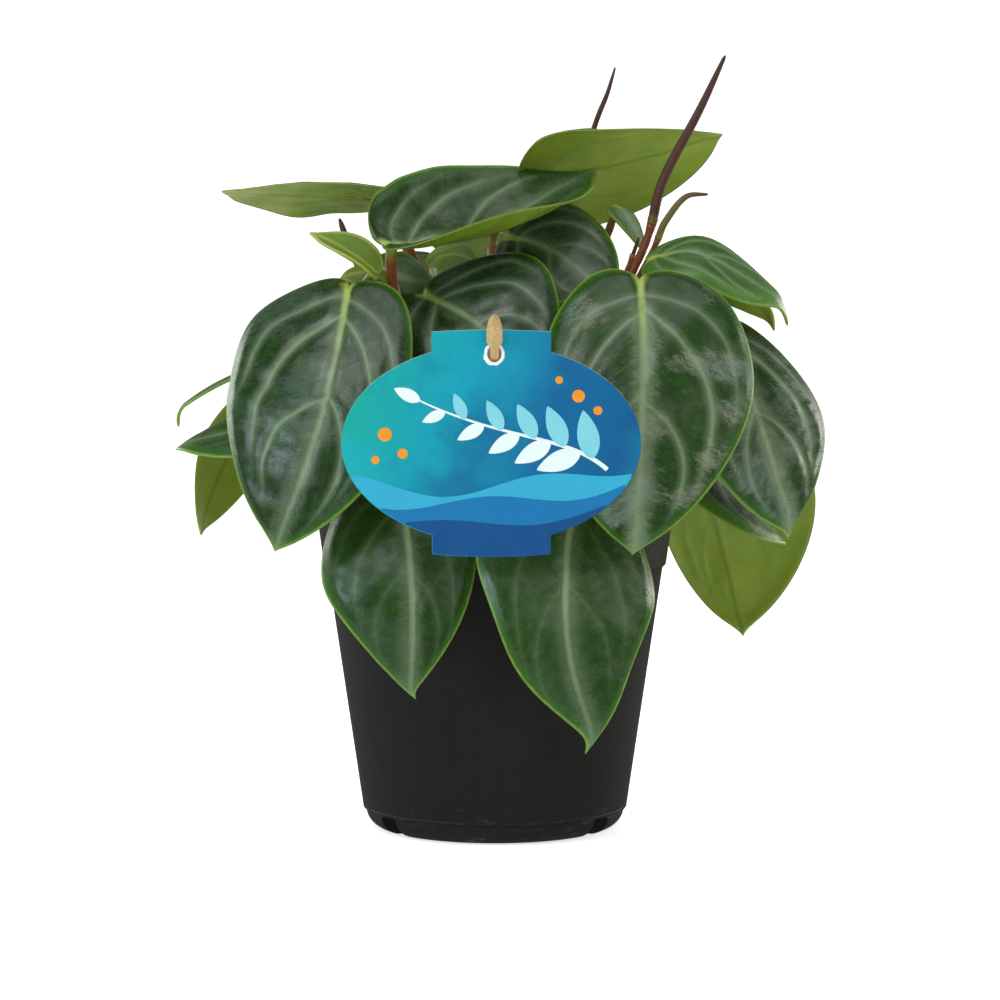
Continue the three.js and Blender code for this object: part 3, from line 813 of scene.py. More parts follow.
class PaperFinish(Finish):
    """Bare pale card, faintly fibrous: the label's back, its cut edge and its torn hole."""

    name = "card_bare"
    pale, grey = srgb("#eceae3"), srgb("#c9c6bc")

    def paint(self) -> None:
        """Lays greyer fibres over the pale card."""
        fibre = self.noise(self.mapped(self.place(), (1.0, 1.0, 3.0)), 700.0, 4.0, 0.65)
        self.set(Base_Color=self.mix(fibre * 0.6, self.pale, self.grey))
        self.set(Roughness=0.55 + fibre * 0.2)
        self.bump(fibre, 0.00008, 0.5)


class Ink(Enum):
    """The label's printed colours: full, and where the ink lies thinly."""

    WHITE = ("#dde6e3", "#bcd3d3")
    PALE = ("#83c8d1", "#58aec0")
    AQUA = ("#36a5c2", "#218cb0")
    DEEP = ("#1573a6", "#105e95")
    NIGHT = ("#0e4d84", "#0a3e72")
    WARM = ("#e0952f", "#cb7420")


class InkFinish(Finish):
    """One printed colour of the label's plain leaf pattern."""

    def __init__(self, ink: Ink) -> None:
        """Makes the material.

        Args:
            ink: The colour.
        """
        self.name = "ink_" + ink.name.lower()
        self.full, self.thin = map(srgb, ink.value)
        super().__init__()

    def paint(self) -> None:
        """Lays a cloudy, gritty wash."""
        place = self.place()
        wash, grit = self.noise(place, 90.0, 4.0, 0.6), self.noise(place, 900.0, 2.0, 0.6)
        self.set(Base_Color=self.mix((wash + grit) * 0.4, self.full, self.thin))
        self.set(Roughness=0.36 + wash * 0.14, Specular_IOR_Level=0.15)


class WoodFinish(Finish):
    """Pale split wood with fine grain along the stake."""

    name = "stake_wood"
    light, dark = srgb("#b99d6b"), srgb("#936e3c")
    lean = 34.0  # degrees that the stake leans

    def paint(self) -> None:
        """Lays dark grain, drawn out along the stake, over the pale wood."""
        turned = self.mapped(self.place(), (1.0, 1.0, 0.06), (math.radians(-self.lean), 0.0, 0.0))
        grain, wave = self.noise(turned, 1500.0, 4.0, 0.6), self.noise(turned, 420.0, 2.0, 0.5)
        share = (grain * 0.6 + wave * 0.4).step(0.70, 0.40, 0.8)
        self.set(Base_Color=self.mix(share, self.light, self.dark), Roughness=0.55 + grain * 0.2)
        self.bump(grain, 0.0001, 0.6)


class FloorFinish(Finish):
    """The plain pale floor, a little lit by itself as a backlit sheet is."""

    name = "pale_floor"
    pale, shade = srgb("#f6f6f5"), srgb("#f0f0ef")

    def paint(self) -> None:
        """Lays faint clouds over the pale floor and lights it."""
        cloud = self.noise(self.place(), 3.0, 2.0, 0.5)
        self.set(Base_Color=self.mix(cloud, self.pale, self.shade))
        self.set(Roughness=0.9, Specular_IOR_Level=0.1)
        self.set(Emission_Color=(1.0, 1.0, 1.0, 1.0), Emission_Strength=0.65)


# ---------------------------------------------------------------- leaves


@dataclass(frozen=True)
class Leaf:
    """One leaf, with the sizes of its CAD solid in millimetres and its own colouring."""

    node: str
    rib: tuple[Point, Point, Point]  # base, middle and tip of the midrib
    face: Point  # the way its upper face looks
    width: float
    cup: float  # degrees that the margins bend down
    hook: float  # how far the tip bends down
    shoot: Shoot
    start: float  # height where its petiole leaves the stem
    skew: float = 0.0  # how much wider one half is
    lobes: tuple[float, float] = (0.1, 0.1)  # how far they reach behind the base, in lengths
    tone: float = 0.15  # 0 dark, 1 fresh light green
    silver_and_sheen: float = 0.6  # how much silvery feathering and painted sheen it has
    turn: float = 1.0  # sideways bend of its drip tip
    drip: float = 3.2  # length of its drip tip
    full: tuple[float, float] = (0.0, 0.0)  # extra fullness of each half towards the tip
    lines: float = 1.0  # how clearly its side veins show
    worn: float = 0.0  # brown specks on its underside
    band: float = 4.2  # width of the fresh green band along its margin
    nudges: tuple[tuple[float, float, float, Point], ...] = ()  # place, reach, shift of dents
    young: bool = False

    @property
    def corners(self) -> Array:
        """Base, bend and tip of the quadratic curve that the midrib follows."""
        base, middle, tip = np.array(self.rib, float)
        return np.array([base, 2 * middle - 0.5 * base - 0.5 * tip, tip])

    @property
    def length(self) -> float:
        """Length of the midrib, along its curve."""
        line = self.midrib(np.linspace(0, 1, 33))
        return float(np.linalg.norm(np.diff(line, axis=0), axis=1).sum())

    def midrib(self, u: Array) -> Array:
        """The midrib: (1-u)^2 base + 2u(1-u) bend + u^2 tip, with u from 0 to 1."""
        s, (base, bend, tip) = np.asarray(u)[..., None], self.corners
        return (1 - s) ** 2 * base + 2 * s * (1 - s) * bend + s**2 * tip

    def surface(self, u: Array, v: Array) -> Array:
        """The leaf's middle surface: each cross-section is an arc that bends the margins down.

        A point is midrib(u) + across * (sin a / curl) - up * ((1 - cos a) / curl), where the
        angle a grows evenly with v, and the tip is hooked down and aside with squares of u.

        Args:
            u: Share of the leaf's length.
            v: Share of the half width, negative on one side.

        Returns:
            One point for each pair.
        """
        (base, bend, tip), s, half = self.corners, u[..., None], self.width / 2
        along = unit((1 - s) * (bend - base) + s * (tip - bend))
        across = unit(np.cross(along, unit(np.array(self.face, float))))
        up = np.cross(across, along)
        curl = math.radians(self.cup or 0.5) / half
        angle = curl * v * half * (1 + self.skew * np.sign(v))
        hooked = self.hook * np.clip((u - HOOK_FROM) / (1 - HOOK_FROM), 0, None) ** 2
        drip = np.clip((u - DRIP_FROM) * self.length / DRIP_REACH, 0, None)
        aside = np.sin(angle) / curl + self.turn * drip**2
        down = (1 - np.cos(angle)) / curl + hooked
        place = self.midrib(u) + across * aside[..., None] - up * down[..., None]
        for at_u, at_v, reach, shift in self.nudges:
            apart = ((u - at_u) * self.length) ** 2 + ((v - at_v) * half) ** 2
            place = place + np.exp(-apart / reach**2)[..., None] * np.array(shift, float)
        return place

    def normal(self, u: Array, v: Array) -> Array:
        """The surface's upward normal, from the differences across small steps.

        Args:
            u: Share of the leaf's length.
            v: Share of the half width.

        Returns:
            One unit vector for each pair.
        """
        step = 0.01
        along_u = self.surface(u + step, v) - self.surface(u - step, v)
        along_v = self.surface(u, v + step) - self.surface(u, v - step)
        return unit(np.cross(along_v, along_u))


LEAVES: tuple[Leaf, ...] = (
    Leaf("leaf_front_left", ((-46, -45, 180), (-54, -72, 142), (-70, -66, 99)),
         (-0.25, -0.92, 0.3), 67, 24, 1.5, Shoot.LEFT, 110, skew=0.18, tone=0.08, silver_and_sheen=0.3,
         turn=0.3, full=(-0.1, 1.2), drip=1.4, lobes=(0.1, 0.2),
         nudges=((0.08, 0.85, 21, (-2.6, 0, 6.3)), (0.25, -1.0, 26, (-3.2, 0, 0)),
         (0, 0, 9, (0, 0, 2)))),
    Leaf("leaf_front_right", ((46, -45, 185), (46, -76, 142), (44, -70, 98)), (0.1, -0.95, 0.3),
         68, 24, 1.5, Shoot.RIGHT, 112, skew=-0.05, tone=0.18, silver_and_sheen=1.0, turn=0.2, drip=1.6,
         full=(0.2, 0.2), nudges=((0.25, -1.0, 26, (3.5, 0, 0.5)), (0.05, -0.7, 16, (2, 0, 2)),
         (0.0, 0.8, 14, (0.5, 0, -1)))),
    Leaf("leaf_right", ((74, -18, 171), (86, -42, 137), (95, -38, 100)), (0.5, -0.85, 0.25), 56,
         20, 1.5, Shoot.RIGHT, 108, skew=-0.14, tone=0.12, silver_and_sheen=0.7, turn=0.2, full=(0.7, 0.1),
         nudges=((1.0, 0.0, 20, (1.5, 0, 2)),)),
    Leaf("leaf_right_low", ((62, -4, 137), (77, -20, 115), (96, -20, 98)), (0.35, -0.3, 0.9), 40,
         14, 1, Shoot.RIGHT, 104, tone=0.05, silver_and_sheen=0.2, lines=0.4, drip=0.8, turn=0.0, band=9.0),
    Leaf("leaf_right_under", ((65, 17, 134), (76, 31, 98), (84, 22, 63)), (-0.2, 0.95, 0.2), 56,
         18, 1, Shoot.BACK, 106, skew=0.32, tone=0.25, silver_and_sheen=0.6, turn=0.2, drip=2.4,
         full=(0.7, 0.2)),
    Leaf("leaf_low_left", ((-31, -50, 122), (-26, -72, 88), (-27, -66, 52)), (-0.05, -0.98, 0.2),
         52, 24, 2, Shoot.LEFT, 104, skew=0.2, tone=0.14, silver_and_sheen=0.15, turn=-1.4, lines=0.22,
         drip=2.4, full=(-0.7, -0.3), nudges=((0.25, -1.0, 11, (2.4, -1.5, 0)),)),
    Leaf("leaf_low_right", ((27.5, -48, 120), (22, -79, 82), (28, -67, 34)), (0.2, -0.96, 0.2),
         60, 24, 2, Shoot.RIGHT, 104, skew=-0.1, tone=0.2, silver_and_sheen=0.15, turn=1.6, lines=0.2,
         drip=2.4, full=(0.35, -0.9), nudges=((1.0, 0.0, 24, (4, 0, 2)),
         (0.55, 1.0, 16, (2, 0, 0)), (0.3, 1.0, 12, (-2.6, 1, 0)))),
    Leaf("leaf_top", ((-32, -36, 199), (-4, -18, 201), (33.5, 12, 220)), (-0.25, -0.47, 0.84), 60,
         -60, 0, Shoot.LEFT, 118, lobes=(0.22, 0.1), tone=0.2, silver_and_sheen=0.3, turn=0.2, drip=0.6,
         nudges=((0.85, -0.8, 20, (0, 0, 5)), (0.0, 0.1, 13, (-3, 0, -2.8)),
         (0.0, -0.4, 11, (-4, 0, -0.5)), (0.55, -1.0, 14, (0, 0, 2)),
         (0.1, -1.0, 12, (0, 0, -0.6)))),
    Leaf("leaf_top_right", ((10, 15, 215), (42, 19, 223), (77, 12, 232)), (-0.2, 0.55, 0.8), 54,
         16, 1, Shoot.BACK, 124, tone=0.4, silver_and_sheen=0.5, turn=0.3, drip=1.0,
         nudges=((1.0, 0.0, 12, (-1.5, 0, 0.8)), (0.2, 0.8, 18, (-1.5, 0, 3)),
         (0.05, 0.6, 15, (-1.8, 0, 2)))),
    Leaf("leaf_top_left", ((-29, 14, 209), (-58, 8, 212), (-90, 2, 213)), (0.05, 0.25, 0.96), 46,
         4, 0, Shoot.BACK, 122, tone=0.35, silver_and_sheen=0.4, turn=0.5, drip=1.2, worn=0.9,
         full=(0.0, 0.8), nudges=((0.1, 1.0, 15, (0, 0, 3)), (0.62, 1.0, 9, (0, 0, -1.2)),
         (0.38, 1.0, 7, (0, 0, 1.0)))),
    Leaf("leaf_middle", ((-22, -30, 180), (-3, -50, 168), (17, -58, 150)), (0.15, -0.93, 0.33),
         62, 18, 1, Shoot.LEFT, 116, lobes=(0.22, 0.45), tone=0.04, silver_and_sheen=0.15, lines=0.8,
         nudges=((0.0, 0.0, 13, (-1.5, 0, -0.5)), (0.3, -1.0, 20, (0, 0, 4)))),
    Leaf("leaf_centre_back", ((3, -5, 198), (21, -17, 192), (38, -28, 177)), (0.3, -0.84, 0.45),
         48, 18, 1, Shoot.BACK, 120, tone=0.05, silver_and_sheen=0.3, lines=0.7,
         nudges=((0.3, -1.0, 16, (-1.5, 0, 2.3)),)),
    Leaf("leaf_small_right", ((50, -20, 190), (72, -26, 189), (97, -26, 171)), (0.1, -0.5, 0.85),
         32, 24, 3, Shoot.RIGHT, 118, tone=0.5, silver_and_sheen=0.1, band=8.0, turn=-0.8, drip=4.5,
         lines=0.9, nudges=((0.35, -1.0, 16, (0, 0, 3)), (1.1, 0.0, 13, (-1, 0, 5.5)),
         (0.45, 1.0, 12, (0, 0, 3)))),
    Leaf("leaf_small_right_low", ((64, 2, 186), (80, -2, 181), (94, -4, 169)), (0.3, 0.4, 0.85),
         24, 12, 2, Shoot.RIGHT, 114, tone=0.75, silver_and_sheen=0.3, drip=1.0),
    Leaf("leaf_left_dark", ((-61, -14, 139), (-82, -20, 135), (-105, -16, 129)),
         (-0.1, -0.45, 0.88), 32, 12, 1, Shoot.LEFT, 106, tone=0.2, silver_and_sheen=0.05, drip=1.0,
         lines=0.3),
    Leaf("leaf_left_under", ((-76, 16, 150), (-91, 26, 125), (-101, 18, 98)), (-0.7, 0.7, 0.15),
         33, 16, 1, Shoot.BACK, 108, tone=0.3, silver_and_sheen=0.5, drip=1.5),
    Leaf("leaf_left_edge", ((-75, 2, 156), (-93, -2, 149), (-107, -4, 139)), (-0.5, -0.02, 0.86),
         18, 6, 2, Shoot.LEFT, 112, tone=0.35, silver_and_sheen=0.3, drip=2.5, turn=1.5, lines=0.4),
    Leaf("leaf_young_folded", ((-38, -38, 186), (-47, -40, 193), (-59, -40, 199)),
         (0.2, -0.6, 0.78), 15, -64, 0, Shoot.LEFT, 118, tone=0.9, silver_and_sheen=0.1, drip=0.8, turn=0.2,
         young=True),
    Leaf("leaf_young_left", ((-37, -26, 182), (-45, -27, 186), (-53, -28, 184)),
         (-0.1, -0.6, 0.8), 14, 30, 0, Shoot.LEFT, 115, tone=0.9, silver_and_sheen=0.1, drip=0.5, turn=0.2,
         young=True, nudges=((0.5, 0.0, 30, (3, 0, 0)),)),
    Leaf("leaf_behind_left", ((-44, -2, 177), (-60, -14, 176), (-75, -20, 161)),
         (-0.2, -0.5, 0.85), 32, 14, 1, Shoot.LEFT, 113, tone=0.15, silver_and_sheen=0.2, lines=0.5,
         nudges=((0.15, 0.0, 14, (0, 0, 2.5)), (0.9, 0.0, 20, (6, 0, -6)))),
    Leaf("leaf_small_dark", ((-41, -6, 188), (-32, -9, 189), (-21, -12, 185)), (0.1, -0.6, 0.8),
         18, 10, 0, Shoot.LEFT, 117, tone=0.3, silver_and_sheen=0.1, drip=0.8, lines=0.3,
         nudges=((0.65, 1.0, 11, (2.5, 0, -9.5)),)),
    Leaf("leaf_light_behind", ((-22, 6, 188), (-15, 2, 192), (-6, -2, 189)), (0.1, -0.55, 0.83),
         22, 10, 0, Shoot.BACK, 116, tone=0.8, silver_and_sheen=0.2, drip=0.8, young=True),
    Leaf("leaf_small_grey", ((37.2, 8, 208.5), (44, 4, 204), (50.4, 0, 194.5)), (0.5, -0.5, 0.7),
         12, 14, 0, Shoot.BACK, 118, tone=0.15, silver_and_sheen=1.0, drip=0.8, lines=0.6,
         nudges=((0.0, 0.0, 10, (2.5, 0, -0.3)), (1.0, 0.0, 8, (-0.5, 0, -1.5)))),
    Leaf("leaf_back_left", ((-40, 38, 176), (-55, 62, 142), (-64, 62, 102)), (-0.55, 0.8, 0.3),
         52, 22, 1.5, Shoot.BACK, 110, tone=0.16, silver_and_sheen=0.7),
    Leaf("leaf_back", ((2, 44, 184), (2, 76, 146), (-2, 72, 102)), (0, 0.95, 0.3), 58, 24, 1.5,
         Shoot.BACK, 114, tone=0.12, silver_and_sheen=0.9, turn=0.3),
    Leaf("leaf_back_right", ((49, 39, 176), (63, 60, 140), (67, 64, 102)), (0.6, 0.75, 0.3), 48,
         20, 1.5, Shoot.BACK, 112, tone=0.26, silver_and_sheen=0.6, turn=-0.6),
    Leaf("leaf_back_low_left", ((-23, 49, 126), (-29, 69, 88), (-32, 65, 48)), (-0.3, 0.93, 0.2),
         52, 24, 2, Shoot.BACK, 104, tone=0.32, silver_and_sheen=0.3, turn=-1.2, lines=0.5),
    Leaf("leaf_back_low_right", ((22, 50, 126), (27, 72, 84), (30, 66, 44)), (0.3, 0.93, 0.2), 52,
         24, 2, Shoot.BACK, 104, tone=0.26, silver_and_sheen=0.4, turn=1.2, lines=0.5),
    Leaf("leaf_top_back", ((0, 30, 200), (-2, 54, 199), (0, 78, 182)), (0, 0.35, 0.93), 44, 16, 1,
         Shoot.BACK, 126, tone=0.26, silver_and_sheen=0.6),
    Leaf("leaf_top_back_left", ((-20, 28, 192), (-40, 46, 186), (-60, 60, 164)),
         (-0.3, 0.4, 0.86), 40, 16, 1, Shoot.BACK, 121, tone=0.36, silver_and_sheen=0.5),
    Leaf("leaf_side_right", ((56, 10, 174), (77, 18, 163), (95, 18, 140)), (0.55, 0.4, 0.72), 38,
         16, 1, Shoot.RIGHT, 116, tone=0.3, silver_and_sheen=0.5, drip=2.0),
    Leaf("leaf_side_right_low", ((55, 2, 159), (72, 4, 151), (85, 5, 131)), (0.7, 0.05, 0.71), 28,
         16, 1, Shoot.RIGHT, 106, tone=0.4, silver_and_sheen=0.4, drip=1.2),
    Leaf("leaf_side_left", ((-44, 12, 171), (-64, 17, 167), (-80, 17, 151)), (-0.55, 0.35, 0.75),
         32, 16, 1, Shoot.LEFT, 116, tone=0.26, silver_and_sheen=0.5, drip=2.0),
)


@dataclass
class Foliage:
    """All the leaves: closed blades with sunken veins, a rolled margin and a drip tip."""

    thickness: float = 1.2
    edge_radius: float = 0.6
    widest: float = 0.35  # share of the outline's steps where it is widest
    tip_from: float = 0.9  # where the drip tip starts
    tip_radius: float = 0.75
    roll: float = 1.4  # how far the margin rolls down
    roll_width: float = 5.0
    keel: float = 0.45  # how far the midrib stands out below
    keel_width: float = 1.2
    rib_groove: float = 0.75
    rib_width: float = 2.0
    side_groove: float = 0.5
    side_width: float = 1.7
    waves: tuple[tuple[float, float], ...] = ((0.42, 17.0), (0.10, 5.5))  # height and length
    full_relief: float = 26.0  # half width from which a leaf has the full relief
    edge_columns: tuple[float, ...] = (0.0, 0.07, 0.24, 0.5, 0.85)  # distances from the margin
    grids: tuple[tuple[float, int, int], ...] = (  # least width, rows and columns
        (38, 98, 60), (20, 66, 38), (0, 34, 18),
    )
    first_seed: int = 40
    vein_curves: tuple[tuple[tuple[float, float], ...], ...] = (
        ((0.05, 0.0), (0.10, 0.62), (0.24, 0.92), (0.64, 0.80)),
        ((0.12, 0.0), (0.28, 0.55), (0.50, 0.86), (0.88, 0.36)),
        ((0.43, 0.0), (0.52, 0.36), (0.72, 0.62), (0.96, 0.12)),
    )
    vein_strengths: tuple[float, float, float] = (0.7, 1.0, 0.8)
    vein_drift: float = 0.022

    def outline(self, leaf: Leaf, rows: int, half: int) -> Pair:
        """Half of the outline: a curve round the lobe, one that tapers, one for the drip tip.

        Args:
            leaf: The leaf.
            rows: Steps from base to tip.
            half: Which half, 0 or 1.

        Returns:
            For each step the place on the midrib, and the margin's place along and across.
        """
        full = leaf.full[half]
        tip_rows = max(6, rows // 5)
        share = np.linspace(0, self.tip_from, rows - tip_rows + 1)
        lobe = [(0, 0), (-leaf.lobes[half], 0.25), (-0.02, 1), (0.37, 1)]
        taper = [(0.37, 1), (0.66 + 0.04 * full, 1), (0.90 + 0.03 * full, 0.40 + 0.22 * full)]
        round_part = bezier(lobe, np.clip(share / self.widest, 0, 1))
        slim_share = np.clip((share - self.widest) / (1 - self.widest), 0, 1)
        slim_part = bezier([*taper, (1, 0.03)], slim_share)
        edge = np.where((share <= self.widest)[:, None], round_part, slim_part)
        scale = np.array([leaf.length, leaf.width / 2])
        reach = leaf.drip / leaf.length
        ahead = edge[-1] + unit((edge[-1] - edge[-2]) * scale) * 0.04 * leaf.width / scale
        tip = [edge[-1], ahead, (1.0, self.tip_radius / scale[1]), (1 + reach, 0)]
        t = np.linspace(0, 1, tip_rows + 1)[1:]
        middle = np.concatenate([share, self.tip_from + (1 + reach - self.tip_from) * t])
        return middle, np.vstack([edge, bezier(tip, t)])

    def columns(self, leaf: Leaf, count: int) -> Array:
        """Places from margin to margin, closer together where the edge is rounded.

        Args:
            leaf: The leaf.
            count: Columns between the rounded edges.

        Returns:
            Shares from -1 to 1.
        """
        near = 1 - np.array(self.edge_columns) / (leaf.width / 2)
        inner = np.linspace(-near[-1], near[-1], count + 1)[1:-1]
        return np.concatenate([-near, inner, near[::-1]])

    def vein_lines(self, leaf: Leaf, rng: np.random.Generator) -> list[list[Array]]:
        """The side veins of both halves, laid flat in millimetres.

        Args:
            leaf: The leaf.
            rng: Seeded source of their small differences.

        Returns:
            For each half the points of its three veins.
        """
        scale = np.array([leaf.length, leaf.width / 2])
        halves = []
        for _ in range(2):
            lines = []
            for corners in self.vein_curves:
                moved = np.array(corners) + rng.uniform(-self.vein_drift, self.vein_drift, (4, 2))
                moved[0, 1] = 0.0
                line = bezier(moved, np.linspace(0, 1, 40)) * scale
                lines.append(np.vstack([line, line[-1] + (line[-1] - line[-2]) * 60]))
            halves.append(lines)
        return halves

    def distances(self, places: Array, line: Array) -> Pair:
        """Signed distance to a line of short pieces, and how far along it the nearest place is.

        Args:
            places: Points laid flat, one a row.
            line: Points of the line, the last one beyond its end.

        Returns:
            The distances, positive on the base's side, and the shares along the line.
        """
        start, piece = line[:-1], np.diff(line, axis=0)
        gap = places[:, None] - start[None]
        t = np.clip((gap * piece).sum(-1) / (piece**2).sum(-1), 0, 1)
        far = np.linalg.norm(gap - t[..., None] * piece, axis=-1)
        rows, best = np.arange(len(places)), far.argmin(axis=1)
        near = gap[rows, best]
        side = piece[best, 0] * near[:, 1] - piece[best, 1] * near[:, 0]
        return far[rows, best] * np.where(side >= 0, 1, -1), (best + t[rows, best]) / len(piece)

    def blade(self, leaf: Leaf, seed: int) -> Object:
        """One leaf as a closed blade. Both faces use one grid and meet at a rounded margin.

        Each point is surface(u, v) + normal * (relief +- half thickness), with u between the
        midrib and the margin of its row and v the margin's share of the half width.

        Args:
            leaf: The leaf.
            seed: Seed of its small differences.

        Returns:
            The piece, with the attributes that its finishes read.
        """
        rng = np.random.default_rng(seed)
        rows, inner = next(grid[1:] for grid in self.grids if leaf.width >= grid[0])
        side = self.columns(leaf, inner)
        (middle, one), (_, other) = (self.outline(leaf, rows, half) for half in range(2))
        edge = np.where((side < 0)[None, :, None], one[:, None], other[:, None])
        edge_u, edge_v, middle = edge[..., 0], edge[..., 1], middle[:, None]
        u, v = middle + (edge_u - middle) * np.abs(side)[None], edge_v * side[None]
        half, length = leaf.width / 2, leaf.length
        x, y = u * length, v * half
        extent = np.hypot((edge_u - middle) * length, edge_v * half)
        rim = (1 - np.abs(side))[None] * extent
        places, left = np.stack([x, np.abs(y)], axis=-1).reshape(-1, 2), (y < 0).ravel()
        signed, fades = [], []
        for strength, *lines in zip(self.vein_strengths, *self.vein_lines(leaf, rng)):
            far, along = np.where(left, *(self.distances(places, line) for line in lines))
            signed.append(far.reshape(u.shape))
            fades.append((leaf.lines * strength * fall(along, 0.55, 0.97)).reshape(u.shape))
        grooves = (hump(np.array(signed), self.side_width) * fades).max(axis=0)
        small = min(1.0, half / self.full_relief)
        relief = -self.rib_groove * small * hump(y, self.rib_width) * np.clip(1.1 - u, 0, 1)
        relief -= self.side_groove * small * grooves
        inside = 1 - fall(rim, 0.5, 6.0)
        for height, wave in self.waves:
            relief += height * small * inside * ripples(x, y, wave, rng)
        relief -= self.roll * small * fall(rim, 0.0, self.roll_width) * np.clip(extent / 8, 0, 1)
        inward = 1 - np.clip(rim / self.edge_radius, 0, 1)
        thick = self.thickness / 2 * np.sqrt(np.clip(1 - inward**2, 0, 1))
        base, up = leaf.surface(u, v), leaf.normal(np.clip(u, 0.002, None), v)
        keel = self.keel * small * hump(y, self.keel_width) * np.clip(1 - u, 0, 1) * inside
        lifts = (relief + thick, 0.5 * relief - keel - thick)
        faces = [base + up * lift[..., None] for lift in lifts]
        values = {
            "leaf_flat": (x, y, rim),
            "leaf_mood": (u, leaf.tone, leaf.silver_and_sheen),
            "leaf_more": (leaf.worn, leaf.band, 0.0),
            "leaf_vein": signed,
            "leaf_fade": fades,
        }
        return self.stitched("blade_" + leaf.node.removeprefix("leaf_"), faces, values)

    def stitched(self, name: str, faces: list[Array], values: dict[str, tuple | list]) -> Object:
        """Joins the two faces of a blade round the margin and stores what its finishes read.

        Args:
            name: Name of the piece.
            faces: Points of the upper and the lower face, as grids.
            values: Three numbers for each attribute, as the same grids or alike for all.

        Returns:
            The piece.
        """
        index = numbered(faces[0])
        under = index + index.size
        index[0], index[-1] = index[0, 0], index[-1, 0]
        under[:, 0], under[:, -1] = index[:, 0], index[:, -1]
        under[0], under[-1] = index[0], index[-1]
        quads = np.vstack([quads_of(index), quads_of(under)[:, ::-1]])
        used = np.unique(quads)
        solid = compact(np.vstack([face.reshape(-1, 3) for face in faces]), quads)
        piece = make_mesh(name, solid, np.repeat([0, 1], len(quads) // 2))
        for attribute, numbers in values.items():
            grids = [np.broadcast_to(number, index.shape).ravel() for number in numbers]
            add_vectors(piece, attribute, *(grid[used % index.size] for grid in grids))
        return piece

    def build(self, top: Material, under: Material, young: Material) -> None:
        """Makes, dresses and places every leaf.

        Args:
            top: Finish of the upper faces.
            under: Finish of the undersides.
            young: Finish of the young leaves.
        """
        for seed, leaf in enumerate(LEAVES, self.first_seed):
            finishes = [young, young] if leaf.young else [top, under]
            slot = Slot.YOUNG if leaf.young else Slot.LEAF
            settle(self.blade(leaf, seed), finishes, slot, leaf.node)


# ---------------------------------------------------------------- stems and spikes


@dataclass(frozen=True)
class Spike:
    """One flower spike: points of its curve, its radius and where its stalk leaves the stem."""

    node: str
    route: tuple[Point, ...]
    radius: float
    shoot: Shoot
    start: float
    slim: float = 0.82  # radius of the fine rod, as a share of the solid's
    youth: float = 0.0  # how green it still is

    def line(self, steps: int) -> Array:
        """A smooth curve through the route's points, each span a Catmull-Rom cubic.

        Args:
            steps: Number of steps along it.

        Returns:
            One point a row.
        """
        route = np.array(self.route, float)
        route = np.vstack([2 * route[0] - route[1], route, 2 * route[-1] - route[-2]])
        place = np.linspace(0, len(self.route) - 1, steps + 1)
        near = np.clip(place.astype(int), 0, len(self.route) - 2)
        t = (place - near)[:, None]
        a, b, c, d = (route[near + k] for k in range(4))
        bent = (2 * a - 5 * b + 4 * c - d) * t**2 + (3 * b - a - 3 * c + d) * t**3
        return (2 * b + (c - a) * t + bent) / 2


SPIKES: tuple[Spike, ...] = (
    Spike("spike_main", ((52, -4, 202), (56, -3, 217), (68, -1, 240), (76.5, 0, 258)), 2,
         Shoot.RIGHT, 120),
    Spike("spike_back", ((29, 42, 220), (35, 42, 238), (38.6, 42, 247), (41.3, 42, 256)), 1.5,
         Shoot.BACK, 123, slim=0.64),
    Spike("spike_curved", ((54, -6, 197), (56.5, -7, 203), (63, -8, 211), (70.5, -9, 212)), 1.4,
         Shoot.RIGHT, 117, slim=0.85, youth=0.9),
    Spike("spike_bud", ((45.5, -14, 192), (46.5, -14.5, 195), (47.5, -15, 198)), 1.3, Shoot.RIGHT,
         114, slim=0.5),
    Spike("spike_left", ((-49, -18, 198), (-50, -18, 201), (-51, -18, 204)), 1.3, Shoot.LEFT, 112),
)


